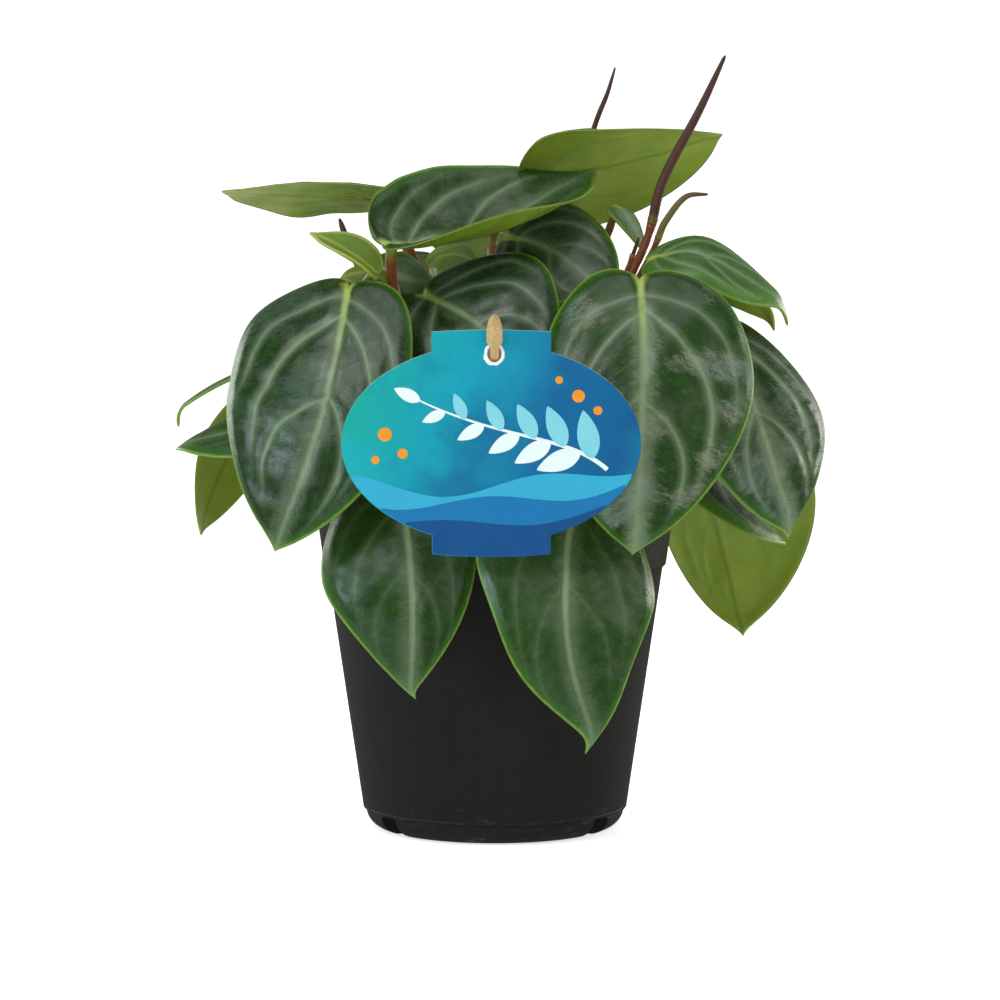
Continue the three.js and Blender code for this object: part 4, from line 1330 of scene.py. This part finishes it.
@dataclass
class Stems:
    """The three leafy stems with their petioles and spike stalks, and the flower spikes."""

    feet: dict[Shoot, Point] = field(
        default_factory=lambda: {
            Shoot.LEFT: (-20, -16, 122), Shoot.RIGHT: (22, -14, 124), Shoot.BACK: (2, 14, 128),
        }
    )
    radius: float = 3.4
    taper: float = 0.25
    bottom: float = 75.0
    cane_steps: int = 60
    petiole: float = 1.8
    small_petiole: float = 0.7  # share of the radius for a small leaf
    slim_leaf: float = 40.0  # width up to which a leaf is small
    seat: float = 0.05  # where a petiole meets its leaf
    spike_stalk: float = 0.64  # radius of a spike's stalk, as a share of the spike's
    sides: int = 16
    steps: int = 44
    bead_pitch: float = 1.5
    bead_height: float = 0.11
    bead_rows: int = 5
    spike_sides: int = 26

    def stalk(self, foot: Point, start: float, end: Array, arriving: Array, radius: float) -> Solid:
        """A stalk that leaves its stem upward and arrives along a given direction.

        It is a tube round a Bezier curve, with radius * (1 + taper + swell + knuckles).

        Args:
            foot: Place of the stem.
            start: Height where it leaves the stem.
            end: Where it ends.
            arriving: Its direction there.
            radius: Its radius.

        Returns:
            Its points and quads.
        """
        begin = np.array([foot[0], foot[1], start], float)
        reach = np.linalg.norm(end - begin)
        first = begin + (end - begin) * 0.12 + np.array([0, 0, 0.38 * reach])
        last = end - arriving * 0.28 * reach
        share = np.linspace(0, 1, self.steps + 1)
        knuckles = 0.035 * np.sin(share * 37) + 0.03 * np.sin(share * 83 + 1)
        swell = 0.25 * hump(share - 1, 0.03) + 0.35 * hump(share, 0.06)
        radii = radius * (1 + 0.15 * (1 - share) + swell + knuckles)
        channel = 1 - 0.05 * np.cos(2 * circle(self.sides))[None, :]
        return tube(bezier([begin, first, last, end], share), radii[:, None] * channel, self.sides)

    def cane(self, foot: Point) -> Solid:
        """The upright stem itself, ringed where leaves have fallen.

        It is an upright tube with radius * (1 - taper * share + rings), rounded at its top.

        Args:
            foot: Its place and the height of its top.

        Returns:
            Its points and quads.
        """
        share, (x, y, top) = np.linspace(0, 1, self.cane_steps), foot
        height = self.bottom + (top - self.bottom) * share
        line = np.stack([np.full_like(share, x), np.full_like(share, y), height], axis=1)
        rings = 0.05 * hump((share * 6) % 1 - 0.5, 0.12)
        rounded = np.sqrt(np.clip((1.02 - share) * 22, 0, 1))
        return tube(line, self.radius * (1 - self.taper * share + rings) * rounded, 24)

    def shoot(self, shoot: Shoot, finish: Material) -> None:
        """One stem with all its stalks, in one piece.

        Args:
            shoot: Which stem.
            finish: Its material.
        """
        foot = self.feet[shoot]
        parts = [self.cane(foot)]
        shares = [np.full(len(parts[0][0]), 0.1)]
        rows = np.repeat(np.linspace(0, 1, self.steps + 1), self.sides)
        stalk_share = np.concatenate([rows, [0.0, 1.0]])
        seat, across = np.array([self.seat]), np.array([0.0])
        for leaf in LEAVES:
            if leaf.shoot is shoot:
                up = leaf.normal(seat, across)[0]
                end = leaf.surface(seat, across)[0] - up * 0.45
                radius = self.petiole * (1.0 if leaf.width > self.slim_leaf else self.small_petiole)
                parts.append(self.stalk(foot, leaf.start, end, up, radius))
                shares.append(stalk_share)
        for spike in SPIKES:
            if spike.shoot is shoot:
                low, after = np.array(spike.route[:2], float)
                arriving, radius = unit(after - low), spike.radius * self.spike_stalk
                parts.append(self.stalk(foot, spike.start, low + arriving * 0.2, arriving, radius))
                shares.append(stalk_share * 0.82)
        piece = make_mesh("shoot_" + shoot.name.lower(), join_parts(parts))
        add_vectors(piece, "stalk_share", np.concatenate(shares), 0.0, 0.0)
        settle(piece, [finish], Slot.PETIOLE, shoot.value)

    def flower(self, spike: Spike, finish: Material) -> None:
        """One flower spike: a slim tapering rod beaded with tiny flowers in crossing spirals.

        Its radius is body * (1 + ring) + height * cos(turn + k a) * cos(turn - k a), with the
        turn growing along it, the angle a round it and k rows of beads.

        Args:
            spike: Its sizes.
            finish: Its material.
        """
        length = np.linalg.norm(np.diff(spike.line(400), axis=0), axis=1).sum()
        steps = int(np.clip(length / 0.32, 40, 190))
        share = np.linspace(0, 1, steps + 1)
        spiral = self.bead_rows * circle(self.spike_sides)[None]
        turn = share[:, None] * length * TURN / self.bead_pitch
        beads = np.cos(turn + spiral) * np.cos(turn - spiral)
        start = np.clip((share - 0.04) / 0.05, 0, 1)[:, None]
        tapered = spike.radius * spike.slim * (1 - 0.66 * share**3)
        body = tapered * np.sqrt(np.clip((1.004 - share) * 40, 0, 1))
        ring = 0.1 * hump(share - 0.04, 0.012) * (length > 20)
        flowers = self.bead_height * beads * start * np.clip(body, 0, 1)[:, None]
        radii = (body * (1 + ring))[:, None] + flowers
        piece = make_mesh("flower_" + spike.node, tube(spike.line(steps), radii, self.spike_sides))
        along = np.concatenate([np.repeat(share, self.spike_sides), [0.0, 1.0]])
        add_vectors(piece, "stalk_share", along, spike.youth, 0.0)
        settle(piece, [finish], Slot.SPIKE, spike.node)

    def build(self, petiole: Material, brown: Material) -> None:
        """Makes the stems and the spikes.

        Args:
            petiole: Finish of the stems and stalks.
            brown: Finish of the spikes.
        """
        for shoot in Shoot:
            self.shoot(shoot, petiole)
        for spike in SPIKES:
            self.flower(spike, brown)


# ---------------------------------------------------------------- pot and potting mix


@dataclass
class Pot:
    """The round nursery pot, turned about its axis, with notched feet and drain holes."""

    height: float = 108.0
    foot_radius: float = 35.5
    foot_inner: float = 32.0
    pad_radius: float = 10.0
    floor_top: float = 7.6
    floor_under: float = 6.0
    ridge_z: float = 7.4
    ridge_radius: float = 44.2
    band_z: float = 88.0
    band_radius: float = 57.4
    band_step: float = 1.2
    rim_radius: float = 60.0
    wall: float = 1.3
    notches: tuple[float, ...] = (54.5, 125.5, 234.5, 305.5)  # degrees round the pot
    notch_width: float = 8.2
    notch_height: float = 6.6
    notch_corner: float = 1.1
    notch_reach: tuple[float, float] = (28.0, 46.0)  # distances from the axis
    drains: int = 8
    drain_radius: float = 3.2
    drain_ring: float = 24.0
    drain_reach: tuple[float, float] = (3.0, 12.0)  # heights
    segments: int = 160
    sharp: float = 40.0  # degrees above which an edge is crisp

    def inner(self, z: float) -> float:
        """Inner radius at a height: a straight taper below the band, and another one above.

        Args:
            z: The height.

        Returns:
            The radius.
        """
        low, high, at_low, at_high = self.band_z, self.height, self.band_radius, self.rim_radius
        if z < self.band_z + 2:
            low, high, at_low = self.ridge_z, self.band_z, self.ridge_radius
            at_high = self.band_radius - self.band_step
        return at_low + (at_high - at_low) * (z - low) / (high - low) - self.wall

    def profile(self) -> Array:
        """The wall's outline, from the middle of the underside to the middle of the floor.

        Returns:
            Radius and height of each point.
        """
        pad, under, inside = self.pad_radius, self.floor_under, self.foot_inner
        foot, r, z, b, c = (
            self.foot_radius, self.ridge_radius, self.ridge_z, self.band_radius, self.band_z
        )
        rim, top, floor, wall = self.rim_radius, self.height, self.floor_top, self.wall
        out = r - 0.9
        rounded = [
            (foot + (out - foot) * math.sin(a), (z - 0.8) * (1 - math.cos(a)))
            for a in np.linspace(0, math.pi / 2, 13)[1:]
        ]
        points = [
            (0, 0), (pad - 0.3, 0), (pad, 0.3), (pad + 0.7, under - 0.4), (pad + 1.1, under),
            (inside - 1.0, under), (inside - 0.6, under - 0.4), (inside - 0.1, 0.4),
            (inside + 0.3, 0), (foot, 0), *rounded,
            (r - 0.6, z - 0.55), (r - 0.1, z - 0.45), (r + 0.12, z - 0.2), (r + 0.15, z + 0.2),
            (r + 0.1, z + 0.6), (r + 0.25, z + 0.8),
            (b - self.band_step, c - 0.2), (b - 1.1, c + 0.1), (b - 0.5, c + 0.5),
            (b - 0.12, c + 0.9), (b, c + 1.4),
            (rim - 0.25, top - 1.5), (rim - 0.2, top - 0.9), (rim - 0.4, top - 0.3),
            (rim - 0.7, top), (rim - wall + 0.2, top), (rim - wall, top - 0.25),
            (self.inner(c + 3), c + 3), (self.inner(c), c),
            (self.inner(floor + 3), floor + 3), (self.inner(floor) - 0.5, floor + 0.6),
            (self.inner(floor) - 1.5, floor), (0, floor),
        ]
        return np.array(points, float)

    def turned(self, profile: Array) -> Solid:
        """A closed body turned about the z axis: (radius cos a, radius sin a, height).

        Args:
            profile: Radius and height of each point, on the axis at both ends.

        Returns:
            Its points and quads.
        """
        angle, (radius, height) = circle(self.segments), profile.T[..., None]
        flat = [radius * np.cos(angle), radius * np.sin(angle), height + 0 * angle]
        return capped(np.stack(flat, axis=-1))

    def notch(self, degrees: float) -> Solid:
        """What a notch takes away: a section with round upper corners, drawn outward.

        Args:
            degrees: Its place round the pot.

        Returns:
            Its points and quads.
        """
        turn = math.radians(degrees)
        front = np.array([math.sin(turn), -math.cos(turn), 0.0])
        aside = np.array([math.cos(turn), math.sin(turn), 0.0])
        half, top, soft = self.notch_width / 2, self.notch_height, self.notch_corner
        arc = np.linspace(0, math.pi / 2, 6)
        corner = [half - soft + soft * np.cos(arc), top - soft + soft * np.sin(arc)]
        right = np.stack(corner, axis=1)
        section = np.vstack([[(half, -4.0)], right, right[::-1] * (-1, 1), [(-half, -4.0)]])
        near, far = self.notch_reach
        flat = np.array([aside * w + np.array([0, 0, h]) for w, h in section])
        return ended(np.array([front * near + flat, front * far + flat]), front * near, front * far)

    def drain(self, turn: float) -> Solid:
        """What a drain hole takes away, at an angle in radians round the pot."""
        x, y = self.drain_ring * math.cos(turn), self.drain_ring * math.sin(turn)
        return tube(np.array([[x, y, z] for z in self.drain_reach]), [self.drain_radius] * 2, 28)

    def build(self, plastic: Material) -> None:
        """Makes the pot.

        Args:
            plastic: Its material.
        """
        pot = make_mesh("pot_shell", self.turned(self.profile()))
        parts = [self.notch(degrees) for degrees in self.notches]
        parts += [self.drain(turn) for turn in circle(self.drains)]
        cutter = make_mesh("pot_cutter", join_parts(parts))
        outward(cutter, 30)
        cut(pot, cutter, self.sharp)
        settle(pot, [plastic], Slot.POT, "pot")


@dataclass
class PottingMix:
    """The potting mix: a filled body with a crumbly top, loose crumbs and pale grains."""

    pot: Pot
    top: float = 97.0
    crown: float = 1.5
    gap: float = 0.5
    rings: int = 46
    sides: int = 132
    roughness: tuple[tuple[float, float], ...] = ((0.7, 14), (0.55, 5), (0.3, 2.3))
    crumbs: tuple[int, float, float] = (620, 0.7, 2.1)  # number, least and greatest radius
    grains: tuple[int, float, float] = (90, 0.6, 1.5)
    seed: int = 11

    def build(self, mix: Material, perlite: Material) -> None:
        """Makes the potting mix and what lies on it.

        The bed's top is top + crown * (1 - (radius / edge)^2) + ripples, over a plain body.

        Args:
            mix: Finish of the mix.
            perlite: Finish of the pale grains.
        """
        rng = np.random.default_rng(self.seed)
        edge = self.pot.inner(self.top) - self.gap
        angle, radius = circle(self.sides), np.linspace(edge, 0, self.rings)[:, None]
        x, y = radius * np.cos(angle), radius * np.sin(angle)
        rough = sum(height * ripples(x, y, length, rng) for height, length in self.roughness)
        z = self.top + self.crown * (1 - (radius / edge) ** 2) + rough
        low = self.pot.floor_top + 0.3
        body = [np.zeros((self.sides, 3)) + (0, 0, low)]
        for height in (low, self.pot.floor_top + 4.3, self.pot.band_z, self.top - 3):
            inner = self.pot.inner(height) - self.gap - (1.8 if height < 10 else 0)
            flat = [inner * np.cos(angle), inner * np.sin(angle), height + 0 * angle]
            body.append(np.stack(flat, axis=-1))
        solid = capped(np.vstack([body, np.stack([x, y, z], axis=-1)]))
        settle(make_mesh("potting_mix_bed", solid), [mix], Slot.SOIL, "soil")
        for name, sizes, finish in (("crumbs", self.crumbs, mix), ("grains", self.grains, perlite)):
            piece = make_mesh("potting_mix_" + name, self.scatter(*sizes, edge, rng))
            settle(piece, [finish], Slot.SOIL)

    def scatter(
        self, count: int, least: float, most: float, edge: float, rng: np.random.Generator
    ) -> Solid:
        """Loose lumps on the surface: small squashed six-sided balls with uneven corners.

        Each point is centre + size * corner of the ball * bump of the corner * squash.

        Args:
            count: Number of lumps.
            least: Least radius.
            most: Greatest radius.
            edge: Radius that they stay inside.
            rng: Seeded source of their places and shapes.

        Returns:
            Their points and quads.
        """
        turn = circle(6)
        rings = [
            np.stack([r * np.cos(turn + z), r * np.sin(turn + z), z + 0 * turn], axis=1)
            for z, r in ((-1, 0.0), (-0.45, 0.85), (0.35, 0.9), (1, 0.0))
        ]
        ball, faces = capped(np.array(rings))
        reach = (edge - 2.5) * np.sqrt(rng.uniform(0, 1, count))
        around = rng.uniform(0, TURN, count)
        size = rng.uniform(least, most, count)
        height = self.top + self.crown * (1 - (reach / edge) ** 2) + 0.25 * size
        centre = np.stack([reach * np.cos(around), reach * np.sin(around), height], axis=1)
        bumpy = rng.uniform(0.72, 1.25, (count, len(ball), 1))
        squash = rng.uniform(0.55, 1.2, (count, 1, 3))
        points = centre[:, None] + size[:, None, None] * ball[None] * bumpy * squash
        starts = np.arange(count)[:, None, None] * len(ball)
        return points.reshape(-1, 3), (faces[None] + starts).reshape(-1, 4)


# ---------------------------------------------------------------- label and stake


@dataclass
class Label:
    """The card label: an oval with square tabs, a printed leaf pattern and a torn hole."""

    width: float = 93.0
    height: float = 62.4
    tab_width: float = 37.0
    tab_top: float = 35.6
    thickness: float = 0.8
    centre: Point = (-1.0, -87.5, 134.0)
    lean: float = 5.0
    hole: Flat = (5.4, 6.2)
    hole_place: Flat = (1.0, 28.2)
    soft: float = 0.14  # how far its edges are softened
    ink: float = 0.02
    tear_points: int = 96
    tear_seed: int = 5
    sharp: float = 30.0  # degrees above which an edge is crisp
    waves: tuple[tuple[float, float, float, Ink], ...] = (  # level, swing, shift and ink
        (-14.0, 2.6, 0.0, Ink.AQUA), (-19.0, 2.2, 1.7, Ink.DEEP), (-25.5, 1.6, 3.1, Ink.NIGHT),
    )
    twig: tuple[Flat, ...] = ((36.0, -8.0), (24.0, 3.0), (4.0, 1.0), (-22.0, 13.5))
    leaf_places: tuple[int, ...] = (7, 12, 18, 23, 28, 33, 38, 43, 48, 53)  # steps of the twig
    dots: tuple[tuple[float, float, float], ...] = (  # right, up and radius
        (-33, 3, 2.2), (-27.5, -3, 1.6), (-36, -5, 1.3), (27, 15, 2.0), (33, 10.5, 1.4),
        (21, 20, 1.2),
    )

    def placed(self, flat: Array, out: float) -> Array:
        """Points of the leaning card: flat runs right and up, out ahead of the card's middle."""
        right, up, front = leaning(self.lean)
        return np.array(self.centre) + flat[:, :1] * right + flat[:, 1:] * up + out * front

    def outline(self, inset: float) -> Array:
        """The card's outline, anticlockwise from the right.

        Args:
            inset: How far inside the edge.

        Returns:
            Right and up of each point.
        """
        a, b = self.width / 2 - inset, self.height / 2 - inset
        tab, top = self.tab_width / 2 - inset, self.tab_top - inset
        shoulder = math.acos(tab / a)
        swing = np.linspace(-shoulder, shoulder, 60)
        right = np.stack([a * np.cos(swing), b * np.sin(swing)], axis=1)
        crest = np.linspace(tab, -tab, 16)
        bulge = 0.6 * (1 - (crest / tab) ** 2)
        upper = np.stack([crest, top - 0.6 + bulge], axis=1)
        lower = np.stack([-crest, 0.9 - top - 1.5 * bulge], axis=1)
        return np.vstack([right, upper, -right, lower])

    def matched(self, outline: Array, count: int) -> Array:
        """The outline's own points, turning clockwise as the hole does.

        Args:
            outline: Points of the outline, anticlockwise.
            count: Points of the hole.

        Returns:
            As many outline points as the hole has.
        """
        turned = outline[::-1]
        start = int(np.argmax(turned @ np.array([1.0, 0.35])))
        return np.roll(turned, -start, axis=0)[:count]

    def card(self, printed: Material, bare: Material) -> None:
        """The card with softened edges: its front is printed, its edge and back are bare.

        Its rings of points run over the front, down the outline, over the back and up the hole.

        Args:
            printed: Finish of the front.
            bare: Finish of the rest.
        """
        swing, h, soft = -np.linspace(0, TURN, 152, endpoint=False), self.thickness / 2, self.soft
        (right, up), (wide, high) = self.hole_place, self.hole
        hole = np.stack([right + wide / 2 * np.cos(swing), up + high / 2 * np.sin(swing)], axis=1)
        edges = [(soft, h), (0.0, h - soft), (0.0, soft - h), (soft, -h)]
        rings = [
            self.placed(self.matched(self.outline(inset), len(hole)), out) for inset, out in edges
        ]
        rings += [self.placed(hole, -h), self.placed(hole, h)]
        slots = np.repeat([0, 1, 1, 1, 1, 0], len(hole))
        piece = make_mesh("label_front", hooped(np.array(rings)), slots)
        outward(piece, self.sharp)
        settle(piece, [printed, bare], Slot.LABEL, "label")

    def tear(self, bare: Material) -> None:
        """The pale torn edge round the hole: a thin ragged ring that stands off the print.

        Each ring of points is middle + direction * (half the hole + a share of the flap).

        Args:
            bare: Its material.
        """
        rng = np.random.default_rng(self.tear_seed)
        swing = np.linspace(0, TURN, self.tear_points, endpoint=False)
        direction = np.stack([np.cos(swing), np.sin(swing)], axis=1)
        middle, half = np.array(self.hole_place), np.array(self.hole) / 2
        ragged = 0.42 + 0.12 * np.sin(5 * swing + 1) * np.sin(3 * swing)
        ragged = ragged + rng.uniform(-0.1, 0.14, self.tear_points)
        flaps = ragged * (1 + 1.2 * hump(swing - 1.25 * math.pi, 0.6))
        inner = middle + direction * (half - 0.5)
        outer = middle + direction * (half + flaps[:, None])
        between, h = (inner + outer) / 2, self.thickness / 2
        places = ((inner, -0.1), (inner, 0.18), (between, 0.3), (outer, 0.06), (outer, -0.05))
        points, quads = hooped(np.array([self.placed(flat, h + out) for flat, out in places]))
        settle(make_mesh("label_tear", (points, quads[:, ::-1])), [bare], Slot.LABEL)

    def inked(self, name: str, strips: list[Pair], ink: Material, layer: int) -> None:
        """A printed shape as a thin raised layer. Each shape is a strip between two lines.

        Its rings run along one line, low and at the top, and along the other, top and low.

        Args:
            name: Name of the piece, after "label_".
            strips: Both sides of each strip, right and up, with as many points each.
            ink: Its finish.
            layer: Number of inks below it, and itself.
        """
        low, top = self.thickness / 2 - 0.03, self.thickness / 2 + self.ink * layer
        parts = []
        for one, other in strips:
            places = ((one, low), (one, top), (other, top), (other, low))
            rings = np.array([self.placed(flat, out) for flat, out in places])
            index, (points, quads) = numbered(rings), hooped(rings, wrap=False)
            parts.append((points, np.vstack([quads, index[::-1, 0], index[:, -1]])))
        piece = make_mesh("label_" + name, join_parts(parts))
        outward(piece, self.sharp)
        settle(piece, [ink], Slot.LABEL)

    def leaflet(self, root: Array, turn: float, length: float, width: float) -> Pair:
        """A plain pointed leaf shape for the print: two arcs from root to point.

        Args:
            root: Its foot, right and up.
            turn: Its direction in degrees.
            length: Its length.
            width: Its greatest width.

        Returns:
            Its two sides.
        """
        t = np.linspace(0, 1, 22)
        swell = np.sin(math.pi * t**0.8) ** 0.8 * width / 2
        ray = np.array([math.cos(math.radians(turn)), math.sin(math.radians(turn))])
        aside = np.array([-ray[1], ray[0]]) * np.maximum(swell, 0.02)[:, None]
        spine = root + t[:, None] * length * ray
        return spine - aside, spine + aside

    def foot_waves(self, inks: dict[Ink, Material]) -> None:
        """The waves along the foot of the card, each one a strip from the card's edge up.

        Args:
            inks: The finish of each ink.
        """
        a, b, tab = self.width / 2 - 0.25, self.height / 2 - 0.25, self.tab_width / 2 - 0.2
        steps = [-tab - 0.01, 0.01 - tab, tab - 0.01, tab + 0.01]
        across = np.sort(np.concatenate([np.linspace(-43.5, 43.5, 90), steps]))
        bow = b * np.sqrt(np.clip(1 - (across / a) ** 2, 0, 1))
        sag = 0.9 * (1 - (across / tab) ** 2)
        foot = np.where(np.abs(across) < tab, 1.1 - self.tab_top - sag, -bow)
        for layer, (level, swing, lift, ink) in enumerate(self.waves, 1):
            crest = level + swing * np.sin(across / 9.5 + lift) + 0.0022 * (across + 14) ** 2
            crest = np.minimum(crest, bow - 0.3)
            seen = crest > foot + 0.25
            sides = [np.stack([across, side], axis=1)[seen] for side in (foot, crest)]
            self.inked("wave_" + ink.name.lower(), [sides], inks[ink], layer)

    def spray(self, inks: dict[Ink, Material]) -> None:
        """The twig with its leaves, and the dots.

        Args:
            inks: The finish of each ink.
        """
        t = np.linspace(0, 1, 60)
        twig = bezier(self.twig, t)
        slope = unit(np.gradient(twig, axis=0))
        aside = np.stack([-slope[:, 1], slope[:, 0]], axis=1) * (0.7 - 0.45 * t)[:, None]
        self.inked("twig", [(twig - aside, twig + aside)], inks[Ink.WHITE], 4)
        leaves = {Ink.WHITE: [], Ink.PALE: []}
        for k, place in enumerate(self.leaf_places):
            heading = math.degrees(math.atan2(slope[place, 1], slope[place, 0]))
            size, (ink, turn) = 15.5 - 0.85 * k, ((Ink.PALE, -48), (Ink.WHITE, 46))[k % 2]
            leaves[ink].append(self.leaflet(twig[place], heading + turn, size, size * 0.44))
        leaves[Ink.WHITE].append(self.leaflet(twig[-1], 154.0, 9.0, 4.0))
        for layer, (ink, shapes) in enumerate(leaves.items(), 5):
            self.inked("leaves_" + ink.name.lower(), shapes, inks[ink], layer)
        swing = np.linspace(-math.pi / 2, math.pi / 2, 14)
        dots = [
            [np.stack([x + s * r * np.cos(swing), y + r * np.sin(swing)], axis=1) for s in (-1, 1)]
            for x, y, r in self.dots
        ]
        self.inked("dots", dots, inks[Ink.WARM], 4)

    def build(self, printed: Material, bare: Material, inks: dict[Ink, Material]) -> None:
        """Makes the label.

        Args:
            printed: Finish of the printed front.
            bare: Finish of the bare card.
            inks: The finish of each ink of its pattern.
        """
        self.card(printed, bare)
        self.tear(bare)
        self.foot_waves(inks)
        self.spray(inks)


@dataclass
class Stake:
    """The flat wooden arrow that carries the label, leaning over the pot's rim."""

    label: Label
    thickness: float = 1.6
    soft: float = 0.25  # how far its edges are softened
    lean: float = WoodFinish.lean
    length: float = 92.0
    head: float = 14.5
    width: float = 5.0
    neck: float = 2.8
    neck_top: float = 3.2
    neck_bottom: float = -6.0
    barb: float = 4.6
    unevenness: float = 0.06
    seed: int = 8

    def sides(self) -> Pair:
        """Half width of the stake at each height along it.

        Returns:
            Heights above the label's hole, and half widths.
        """
        half, neck = self.width / 2, self.neck / 2
        head = [(half, self.barb), (half + 0.1, 10.5), (1.9, 13.4), (0.3, self.head)]
        curve, rise = bezier(head, np.linspace(0, 1, 15)).T
        low = np.linspace(-self.length, self.neck_bottom - 3, 30)
        high = np.concatenate([low, [self.neck_bottom, self.neck_top], rise])
        return high, np.concatenate([np.full(30, half), [neck, neck], curve])

    def build(self, wood: Material) -> None:
        """Makes the stake with softened edges, a little uneven as split wood is.

        Each point is origin + height * up + half width * right + depth * front.

        Args:
            wood: Its material.
        """
        rng = np.random.default_rng(self.seed)
        high, wide = self.sides()
        wide = wide + self.unevenness * ripples(high, high * 0, 9.0, rng) * (wide > 1)
        inset = np.maximum(wide - self.soft, 0.12)
        right, up, front = leaning(self.lean)
        origin = self.label.placed(np.array([self.label.hole_place]), 0.0)[0]
        h, near = self.thickness / 2, self.thickness / 2 - self.soft
        section = (
            (wide, -near), (wide, near), (inset, h), (-inset, h),
            (-wide, near), (-wide, -near), (-inset, -h), (inset, -h),
        )
        spine = origin + high[:, None] * up
        rows = [spine + w[:, None] * right + out * front for w, out in section]
        ends = [origin + high[0] * up, origin + (high[-1] + 0.15) * up]
        piece = make_mesh("stake_arrow", ended(np.stack(rows, axis=1), *ends))
        outward(piece, 50)
        settle(piece, [wood], Slot.WOOD, "label_stake")


# ---------------------------------------------------------------- studio


@dataclass
class Studio:
    """The white sweep that the pot stands on, the lights and the camera."""

    camera_place: Point = (0.0017, -1.2, 0.2)
    pitch: float = 4.29
    focal_pixels: float = 3592.0
    sensor: float = 36.0
    aim: Point = (0.0, 0.0, 0.14)  # what the lamps face, in metres
    world: float = 0.18
    sweep_side: float = 6000.0
    sweep_back: float = 1500.0
    sweep_bend: float = 1200.0
    lamps: tuple[tuple[str, Point, float, float, str], ...] = (
        ("left_softbox", (-1.35, -0.8, 0.42), 9.0, 0.5, "#dff0ff"),
        ("right_softbox", (1.5, -0.6, 0.7), 5.0, 0.9, "#fffaf2"),
        ("top_softbox", (0.1, -0.1, 1.6), 4.5, 1.0, "#ffffff"),
        ("key_softbox", (-0.55, -0.95, 1.5), 11.0, 0.7, "#ffffff"),
        ("front_softbox", (0.5, -1.9, 1.0), 4.2, 0.9, "#ffffff"),
        ("rim_left", (-1.1, 0.75, 0.35), 6.0, 0.6, "#ffffff"),
        ("rim_right", (1.1, 0.75, 0.35), 7.5, 0.6, "#fffaf2"),
    )

    def camera(self) -> None:
        """Creates the camera and makes it the scene's own."""
        data = bpy.data.cameras.new("camera")
        data.sensor_width, data.clip_end = self.sensor, 60.0
        data.lens = self.focal_pixels * self.sensor / RENDER_SIDE
        camera = linked("camera", data)
        camera.location = self.camera_place
        camera.rotation_euler = (math.radians(90 - self.pitch), 0, 0)
        bpy.context.scene.camera = camera

    def lamp(self, name: str, place: Point, power: float, size: float, tint: str) -> None:
        """A square soft lamp that faces the plant.

        Args:
            name: Its name.
            place: Where it hangs, in metres.
            power: Its power in watts.
            size: Its side in metres.
            tint: Colour of its light.
        """
        data = bpy.data.lights.new(name, "AREA")
        data.energy, data.color, data.shape, data.size = power, srgb(tint)[:3], "SQUARE", size
        lamp = linked(name, data)
        lamp.location = place
        aim = unit(np.array(self.aim) - np.array(place))
        lamp.rotation_euler = (math.acos(-aim[2]), 0, math.atan2(-aim[0], aim[1]))

    def sweep(self, pale: Material) -> None:
        """The floor, which runs back, round a wide bend and up as a wall.

        The bend's points are (back + bend * sin a, bend * (1 - cos a)), drawn out sideways.

        Args:
            pale: Its material.
        """
        turn, far, bend = np.linspace(0, math.pi / 2, 24), self.sweep_side, self.sweep_bend
        back = self.sweep_back + bend * np.sin(turn)
        y = np.concatenate([[-far], back, [self.sweep_back + bend]])
        z = np.concatenate([[0.0], bend * (1 - np.cos(turn)), [far]])
        rows = np.stack([np.stack([np.full_like(y, x), y, z], axis=1) for x in (-far, far)], axis=1)
        floor = make_mesh("floor", (rows.reshape(-1, 3), quads_of(numbered(rows))))
        floor.data.materials.append(pale)
        floor.visible_glossy = False

    def build(self, pale: Material) -> None:
        """Makes the sweep, the light and the camera.

        Args:
            pale: Finish of the sweep.
        """
        world = bpy.data.worlds.new("studio")
        world.use_nodes = True
        background = world.node_tree.nodes["Background"]
        background.inputs["Strength"].default_value = self.world
        background.inputs["Color"].default_value = (1.0, 1.0, 1.0, 1.0)
        bpy.context.scene.world = world
        self.sweep(pale)
        for lamp in self.lamps:
            self.lamp(*lamp)
        self.camera()
        bpy.context.scene.view_settings.view_transform = "Standard"


def main() -> None:
    """Builds the plant around the frame, piece by piece, and writes how large it is."""
    logging.basicConfig(level=logging.INFO, format="%(message)s")
    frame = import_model()
    LOG.info("%d CAD nodes", len(frame["nodes"]))
    Studio().build(FloorFinish().material)
    pot = Pot()
    pot.build(PotFinish().material)
    PottingMix(pot).build(SoilFinish().material, PerliteFinish().material)
    Stems().build(PetioleFinish().material, SpikeFinish().material)
    leaf_finishes = (LeafTopFinish(), LeafUnderFinish(), YoungLeafFinish())
    Foliage().build(*(finish.material for finish in leaf_finishes))
    inks = {ink: InkFinish(ink).material for ink in Ink}
    label = Label()
    label.build(CardFinish().material, PaperFinish().material, inks)
    Stake(label).build(WoodFinish().material)


if __name__ == "__main__":
    main()
